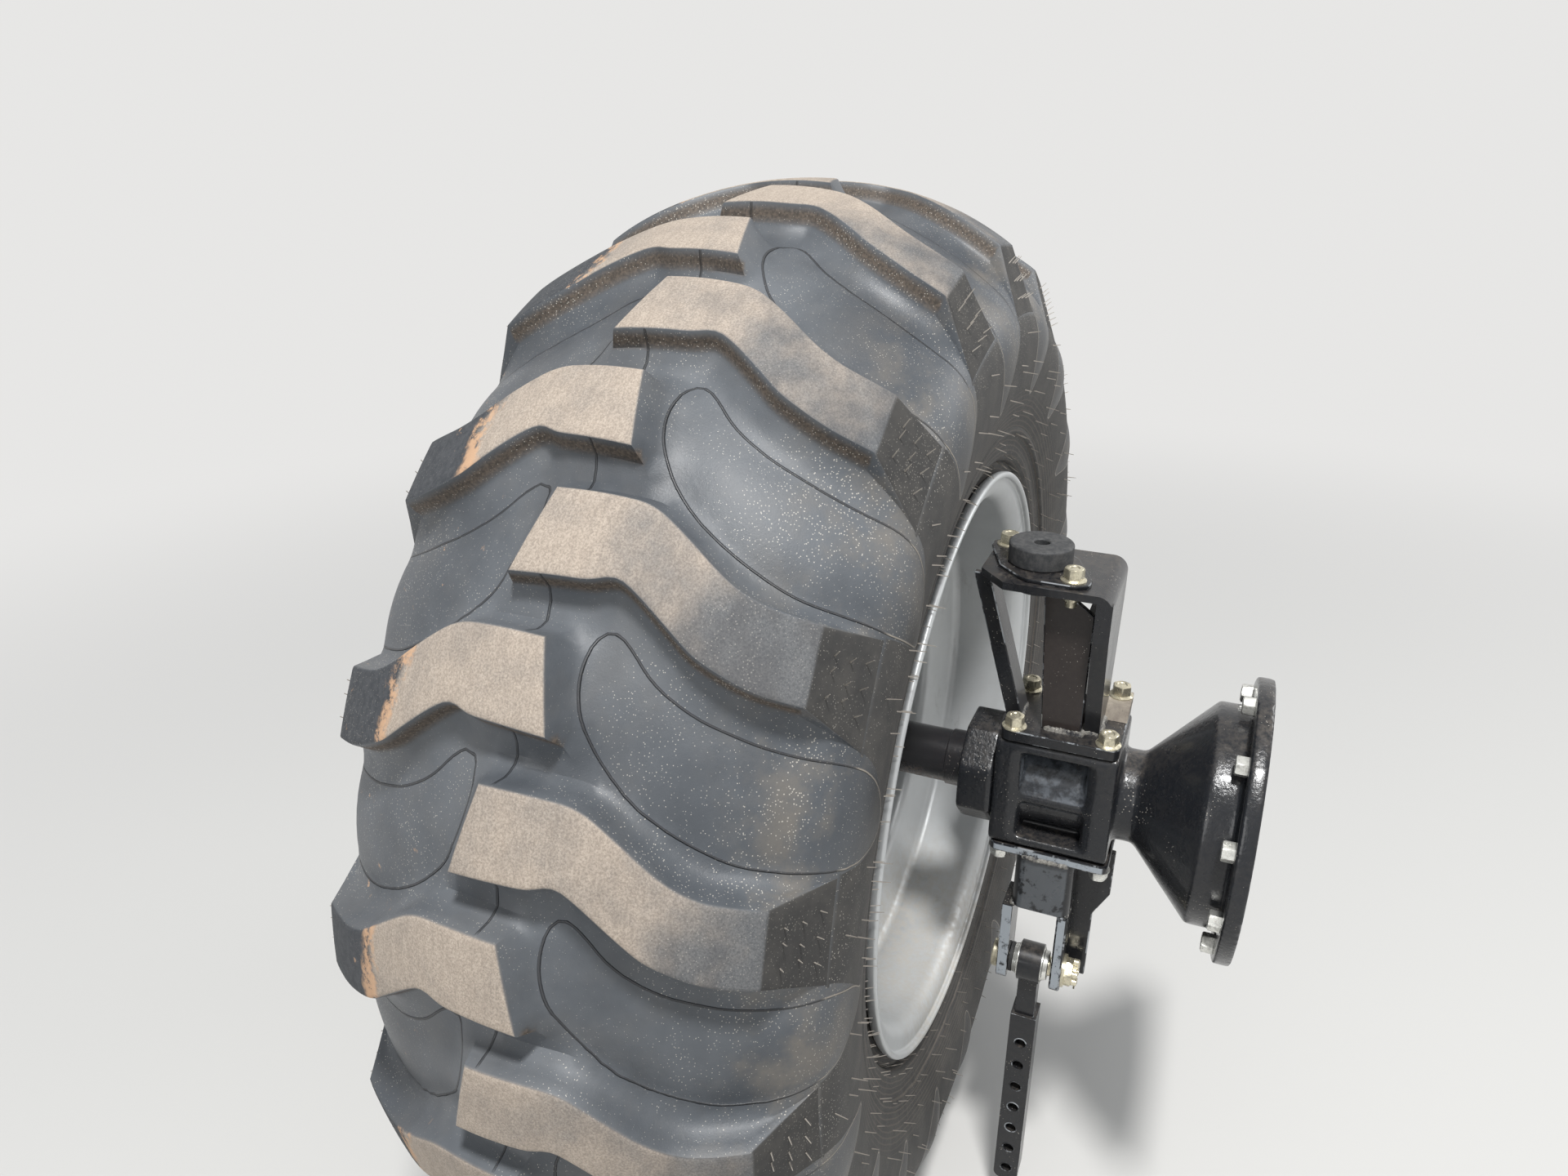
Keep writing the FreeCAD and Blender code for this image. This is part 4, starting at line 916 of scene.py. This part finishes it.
def finished(node, paint, width, rubbed=None, segments=3):
    """The CAD node with its sharp edges rounded and, where a paint for them is given, rubbed."""
    thing = dressed(node, paint, *([rubbed] if rubbed else []))
    modify(thing, "DECIMATE", decimate_type="DISSOLVE", angle_limit=math.radians(0.4))
    modify(thing, "BEVEL", width=width / 1000, segments=segments, limit_method="ANGLE",
           angle_limit=math.radians(32), material=1 if rubbed else -1)
    modify(thing, "WEIGHTED_NORMAL", keep_sharp=True)


# Tyre.
tyre = make_tyre()
tyre.data.materials.append(rubber)
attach(tyre, "wheel")
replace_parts(tyre, "tyre")

# Vent whiskers.  Columns: arc length, number round the wheel, length, first turn in degrees.
WHISKER_ROWS = (
    (406, 96, 15, 0.0), (396, 60, 14, 1.5), (371, 60, 14, 3.0), (346, 36, 15, 5.0), (322, 36, 15, 8.5),
    (300, 18, 14, 14.5), (292, 36, 13, 2.0), (262, 18, 12, 15.0),
)
WHISKER_END = (198, 213, 228), (0.28, 0.5, 0.72)  # arc lengths and shares of the width on end faces
whiskers = Shape()


def add_whisker(foot, under, tip, over):
    """A whisker between two flat points at their heights over the carcass."""
    foot, tip = (tyre_points(np.array([flat]), high)[0] for flat, high in ((foot, under), (tip, over)))
    whisker(whiskers, foot * 1000, tip * 1000)


for side, shift in ((1, 0.0), (-1, -10.0)):
    for s, number, length, first in WHISKER_ROWS:
        for n in range(number):
            u = (first + shift + n * 360 / number + 1.7 * math.sin(n * 2.4)) * DEGREE
            reach = length * (0.75 + 0.3 * math.sin(n * 1.9))
            add_whisker((side * s, u), 0.0, (side * s, u + 2.0), reach)
    for turn in range(PITCHES):
        for across in WHISKER_END[0]:
            for part in WHISKER_END[1]:
                down = (across - 180) / 62
                low, high = lerp(END_LOWER[1], FOOT_LOWER[1], down), lerp(END_UPPER[1], FOOT_UPPER[1], down)
                u = lerp(low, high, part) * DEGREE + 3 * math.sin(across + part * 9)
                under = float(lug_height(np.array([[across, u]]))[0])
                u += (shift + PITCH * turn) * DEGREE
                add_whisker((side * across, u), under - 0.5, (side * across, u + 3.0), under + 9)
bristle = Paint("whisker_rubber", (0.26, 0.235, 0.205), 0.6)
whiskers.made("vent_whiskers", bristle.made, "wheel", "tyre_rubber")

# Rim: rolled lips and rounded steps.  Columns: distance from the middle plane, radius, rounding.
RIM_OUTER = ((204.3, 330.2, 3.2), (190.5, 330.2, 9), (190.5, 304.6, 4), (108, 304.6, 14),
             (82, 264, 14))
RIM_INNER = ((204.3, 323.2, 3.2), (197.3, 323.2, 2.5), (197.3, 297.6, 20), (108, 297.6, 14),
             (82, 257, 14))
run = []
for side, half in ((-1, RIM_OUTER), (1, RIM_OUTER[::-1]), (1, RIM_INNER), (-1, RIM_INNER[::-1])):
    run += [(WHEEL_Y + side * h, r, e) for h, r, e in half]
rim = Shape()
lathe(rim, rounded(run), 192)
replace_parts(rim.made("rim_shell", silver, "wheel", "rim_silver"), "rim")

valve = Shape()
post(valve, (0, WHEEL_Y + 150, 296), (0, 0.35, -1),
     [(0, 9), (3, 9), (4, 6), (14, 5.5), (15, 4), (34, 4), (34.5, 5), (44, 5), (45, 4)])
valve.made("rim_valve", zinc, "wheel", "zinc_steel")

# Wheel disc with its bolts, and the weld that joins it to the rim.
finished("wheel_disc", silver, 1.2)
BOLT_CIRCLE, DISC_FRONT, HUB_BACK = 101.6, 543.0, 509.2
WELD_R, WELD_INSET = 256.4, 23.4
bolts, heads = Shape(), Shape()
for n, x, z in around((0, 0), BOLT_CIRCLE, 8):
    post(bolts, (x, DISC_FRONT, z), (0, 1, 0), [(0, 16), (4, 15), (4.2, 12)])
    hexagon(bolts, (x, DISC_FRONT + 4, z), (0, 1, 0), 27, 17, spin=7 * n)
    post(bolts, (x, DISC_FRONT + 20, z), (0, 1, 0), [(0, 8.6), (8, 8.6), (9.5, 7.4)])
    post(heads, (x, HUB_BACK, z), (0, -1, 0), [(0, 13), (7, 13), (9, 11)])
bolts.made("wheel_nuts", dark_steel, "wheel", "dark_steel")
heads.made("wheel_stud_heads", dark_steel, "wheel", "dark_steel")
disc_weld = Shape()
y = corners_of("wheel_disc")[0][1] + WELD_INSET
turns = np.linspace(0, math.tau, 240)
weld(disc_weld, [(WELD_R * math.cos(a), y, WELD_R * math.sin(a)) for a in turns], 7)
disc_weld.made("disc_weld", silver, "wheel", "rim_silver")

# Axle shaft.
finished("axle_shaft", dark_steel, 1.5)

# Castings: the voxel size rounds the corners as the sand mould does.
for node, voxel, rounds in (("axle_housing", 0.0026, 6), ("bearing_cap", 0.0022, 8)):
    thing = dressed(node, casting)
    modify(thing, "REMESH", mode="VOXEL", voxel_size=voxel, use_smooth_shade=True)
    modify(thing, "SMOOTH", factor=0.5, iterations=rounds)
finished("saddle_block", dusty, 5.0, segments=4)

# Sheet steel.
for node, width, paint in (
    ("pedestal_base", 1.6, black), ("pedestal_frame", 1.4, black), ("pedestal_web", 1.2, brown),
    ("pedestal_brace", 1.2, black), ("mount_flange", 1.0, black), ("bracket_plate", 1.6, highlit_black),
    ("bracket_channel", 1.4, lightly_highlit_black), ("bracket_ear_inner", 2.0, highlit_black),
    ("bracket_ear_outer", 2.0, highlit_black), ("bracket_gusset", 1.2, black), ("stabiliser_bar", 1.6, black),
):
    finished(node, paint, width, edge, segments=2)
finished("mount_rubber", mount, 2.5)
finished("stabiliser_pin", zinc, 1.5)

# Bolts of the base plate, the mount, the bracket and the inner flange, on the CAD holes.
HEAD, FLANGED = 18, 13.0  # across the flats of the smaller bolts, and radius of their flanges
base_low, base_high = corners_of("pedestal_base")
base_x, base_y, _ = (base_low + base_high) / 2
plate_low, plate_high = corners_of("bracket_plate")
top_bolts = Shape()
for x, y, spin in ((-45, -48.5, 10), (-45, 48.5, 25), (45, 48.5, 0), (45, -48.5, 40)):
    under = "saddle_block" if x > 0 and y < 0 else "pedestal_base"
    spot = (base_x + x, base_y + y, corners_of(under)[1][2])
    hexagon(top_bolts, spot, (0, 0, 1), HEAD, 13.5, FLANGED, spin)
MOUNT_Y, MOUNT_UNDER = 243, 242
for side, spin in ((-1, 15), (1, 35)):
    x, y = 37 * side, MOUNT_Y + 40 * side
    hexagon(top_bolts, (x, y, corners_of("mount_flange")[1][2]), (0, 0, 1), HEAD, 13.5, FLANGED, spin)
    post(top_bolts, (x, y, MOUNT_UNDER), (0, 0, -1), [(0, 8.5), (9, 8.5), (9.5, 6), (16, 6)])
top_bolts.made("top_bolts", zinc, "axle", "zinc_steel")
low_bolts = Shape()
for x, y in ((-44, 54), (-44, -54), (44, 54), (44, -54), (-30, -44)):
    spot = (x, (plate_low[1] + plate_high[1]) / 2 + y, plate_low[2])
    hexagon(low_bolts, spot, (0, 0, -1), HEAD, 12, 12.0, x + y)
low_bolts.made("bracket_bolts", pale_zinc, "axle", "zinc_steel")
FLANGE_CIRCLE, FLANGE_FACE = 132, 17.0
joint_bolts = Shape()
for n, x, z in around((0, 0), FLANGE_CIRCLE, 10):
    hexagon(joint_bolts, (x, FLANGE_FACE, z), (0, 1, 0), HEAD, 12, spin=11 * n)
joint_bolts.made("flange_bolts", pale_zinc, "axle", "zinc_steel")

# Pin: washer, castle nut and split pin inboard, ribbed bush and ball faces round the eye.
pin_low, pin_high = corners_of("stabiliser_pin")
eye_low, eye_high = corners_of("stabiliser_bar")
inner_low, inner_high = corners_of("bracket_ear_inner")
outer_low, outer_high = corners_of("bracket_ear_outer")
pin_x, _, pin_z = (pin_low + pin_high) / 2
nut_y = inner_low[1]
nut = Shape()
post(nut, (pin_x, nut_y, pin_z), (0, -1, 0), [(0, 19), (3, 19), (3.2, 12)], 40)
hexagon(nut, (pin_x, nut_y - 3, pin_z), (0, -1, 0), 28, 9, spin=12)
for _, x, z in around((pin_x, pin_z), 10.4, 6, 30):
    post(nut, (x, nut_y - 11.5, z), (0, -1, 0), [(0, 4.2), (5.5, 4.0), (6, 3.2)], 12)
whisker(nut, (pin_x, nut_y - 14, pin_z + 16), (pin_x - 3, nut_y - 15, pin_z - 20), 2.1)
post(nut, (pin_x, nut_y - 17.5, pin_z + 16), (0, 1, 0), [(0, 3), (1, 4.2), (6, 4.2), (7, 3)], 16)
nut.made("castle_nut", zinc, "axle", "zinc_steel")
bush = Shape()
gap_start, gap_end = eye_high[1] + 0.6, outer_low[1] - 0.4
step = (gap_end - gap_start) / 3
for n in range(3):
    post(bush, (pin_x, gap_start + n * step, pin_z), (0, 1, 0),
         [(0, 14), (step * 0.25, 17), (step * 0.75, 17), (step, 14)], 32)
bush.made("pin_bush", mount, "axle", "mount_rubber")
bar_y = (eye_low[1] + eye_high[1]) / 2
ball, rims = Shape(), Shape()
for side in (-1, 1):
    post(ball, (pin_x, bar_y + side * 13.1, pin_z), (0, side, 0),
         [(0, 20), (1.2, 20), (2.2, 17.5), (6.6, 16.4), (7.1, 15.4)], 40)
ball.made("ball_faces", pale_zinc, "stabiliser", "zinc_steel")
HOLES, HOLE_STEP, FIRST_HOLE = 7, 35, 21
for n in range(HOLES):
    for side in (-1, 1):
        post(rims, (pin_x + side * 15, bar_y, eye_low[2] + FIRST_HOLE + HOLE_STEP * n), (side, 0, 0),
             [(0.0, 6.4), (0.0, 8.0), (0.35, 7.6), (0.35, 6.7)], 32, closed=True)
rims.made("bar_hole_rims", edge, "stabiliser", "black_paint")

# Welds.
web_low, web_high = corners_of("pedestal_web")
frame_low, frame_high = corners_of("pedestal_frame")
brace_low, brace_high = corners_of("pedestal_brace")
channel_low, channel_high = corners_of("bracket_channel")
gusset_low = corners_of("bracket_gusset")[0]
foot, plate, strut = base_high[2], plate_low[2], frame_high[2] - 8
left, front = web_low[0], web_low[1]
FOOT_HALF = 30.0
welds = Shape()
for width, *path in (
    (8, (left, front + 38, foot), (left, front, foot), (web_high[0], front, foot)),
    (7, (-FOOT_HALF, frame_low[1], foot), (FOOT_HALF, frame_low[1], foot)),
    (7, (-FOOT_HALF, frame_low[1] + 15, foot), (-FOOT_HALF, frame_low[1], foot)),
    (6, (brace_low[0], MOUNT_Y, foot), (brace_high[0], MOUNT_Y, foot)),
    (6, (brace_low[0], 296, strut), (brace_high[0], 296, strut)),
    (8, *((x, channel_low[1] + 4, channel_low[2]) for x in (inner_low[0] + 3, inner_high[0] - 2))),
    (8, *((x, channel_high[1] - 2, channel_low[2]) for x in (outer_low[0] + 3, outer_high[0] - 2))),
    (6, *((channel_low[0], y, plate) for y in (channel_low[1] + 6, channel_high[1] - 6))),
    (6, (gusset_low[0], gusset_low[1] + 4, plate), (gusset_low[0], channel_low[1], plate)),
):
    weld(welds, path, width)
welds.made("weld_beads", bead, "axle", "black_paint")

# Floor, light and camera.
FLOOR_Z = -0.6202
BACKGROUND = (0.8, 0.795, 0.785)
scene = bpy.context.scene
scene.view_settings.view_transform = "Standard"
bpy.ops.mesh.primitive_plane_add(size=60, location=(0, 0, FLOOR_Z))
floor = bpy.context.object
floor.name = "floor"
# Away from the object the floor shows the background's own colour.
pale = Paint("pale_floor", (0.56, 0.55, 0.53), 0.9)
far = pale.node("VectorMath", {0: pale.where()}, operation="LENGTH").outputs["Value"]
blend = pale.node("MixShader", {
    0: pale.times(pale.seen(), pale.ramp(far, 1.0, 4.2)),
    1: pale.shader.outputs[0],
    2: pale.node("Emission", {"Color": BACKGROUND}).outputs[0],
})
pale.put(pale.tree.nodes["Material Output"].inputs["Surface"], blend.outputs[0])
floor.data.materials.append(pale.made)

world = bpy.data.worlds.new("studio")
scene.world = world
world.use_nodes = True
sky = Nodes(world.node_tree)
light = sky.tree.nodes["Background"]
sky.put(light.inputs["Color"], (0.9, 0.95, 1.0))
sky.put(light.inputs["Strength"], 0.5)
plain = sky.node("Background", {"Color": BACKGROUND})
choose = sky.node("MixShader", {0: sky.seen(), 1: light.outputs[0], 2: plain.outputs[0]})
sky.put(sky.tree.nodes["World Output"].inputs["Surface"], choose.outputs[0])


def lamp(name, place, target, power, width):
    data = bpy.data.lights.new(name, "AREA")
    data.shape = "DISK"
    data.size = width
    data.energy = power
    made = bpy.data.objects.new(name, data)
    made.location = place
    made.rotation_euler = (Vector(target) - Vector(place)).to_track_quat("-Z", "Y").to_euler()
    scene.collection.objects.link(made)


lamp("key", (-1.65, -0.4, 4.1), (0, 0.4, 0), 240, 0.6)
lamp("fill", (-3.2, 1.6, 1.2), (0, 0.4, 0), 35, 2.2)
lamp("rim_light", (2.4, -2.2, 2.0), (0, 0.3, 0), 40, 1.6)

# The photograph's camera: its place, and its right, up and backward directions.
PLACE = Vector((-1.0619, 0.0785, 0.6763))
AXES = (0.39184, -0.92003, 0.0), (0.36649, 0.15609, 0.91723), (-0.84388, -0.35941, 0.39835)
camera = bpy.data.objects.new("camera", bpy.data.cameras.new("camera"))
scene.collection.objects.link(camera)
camera.data.sensor_width, camera.data.lens, camera.data.clip_start = 36, 24.96, 0.05
camera.matrix_world = Matrix.Translation(PLACE) @ Matrix(AXES).transposed().to_4x4()
scene.camera = camera
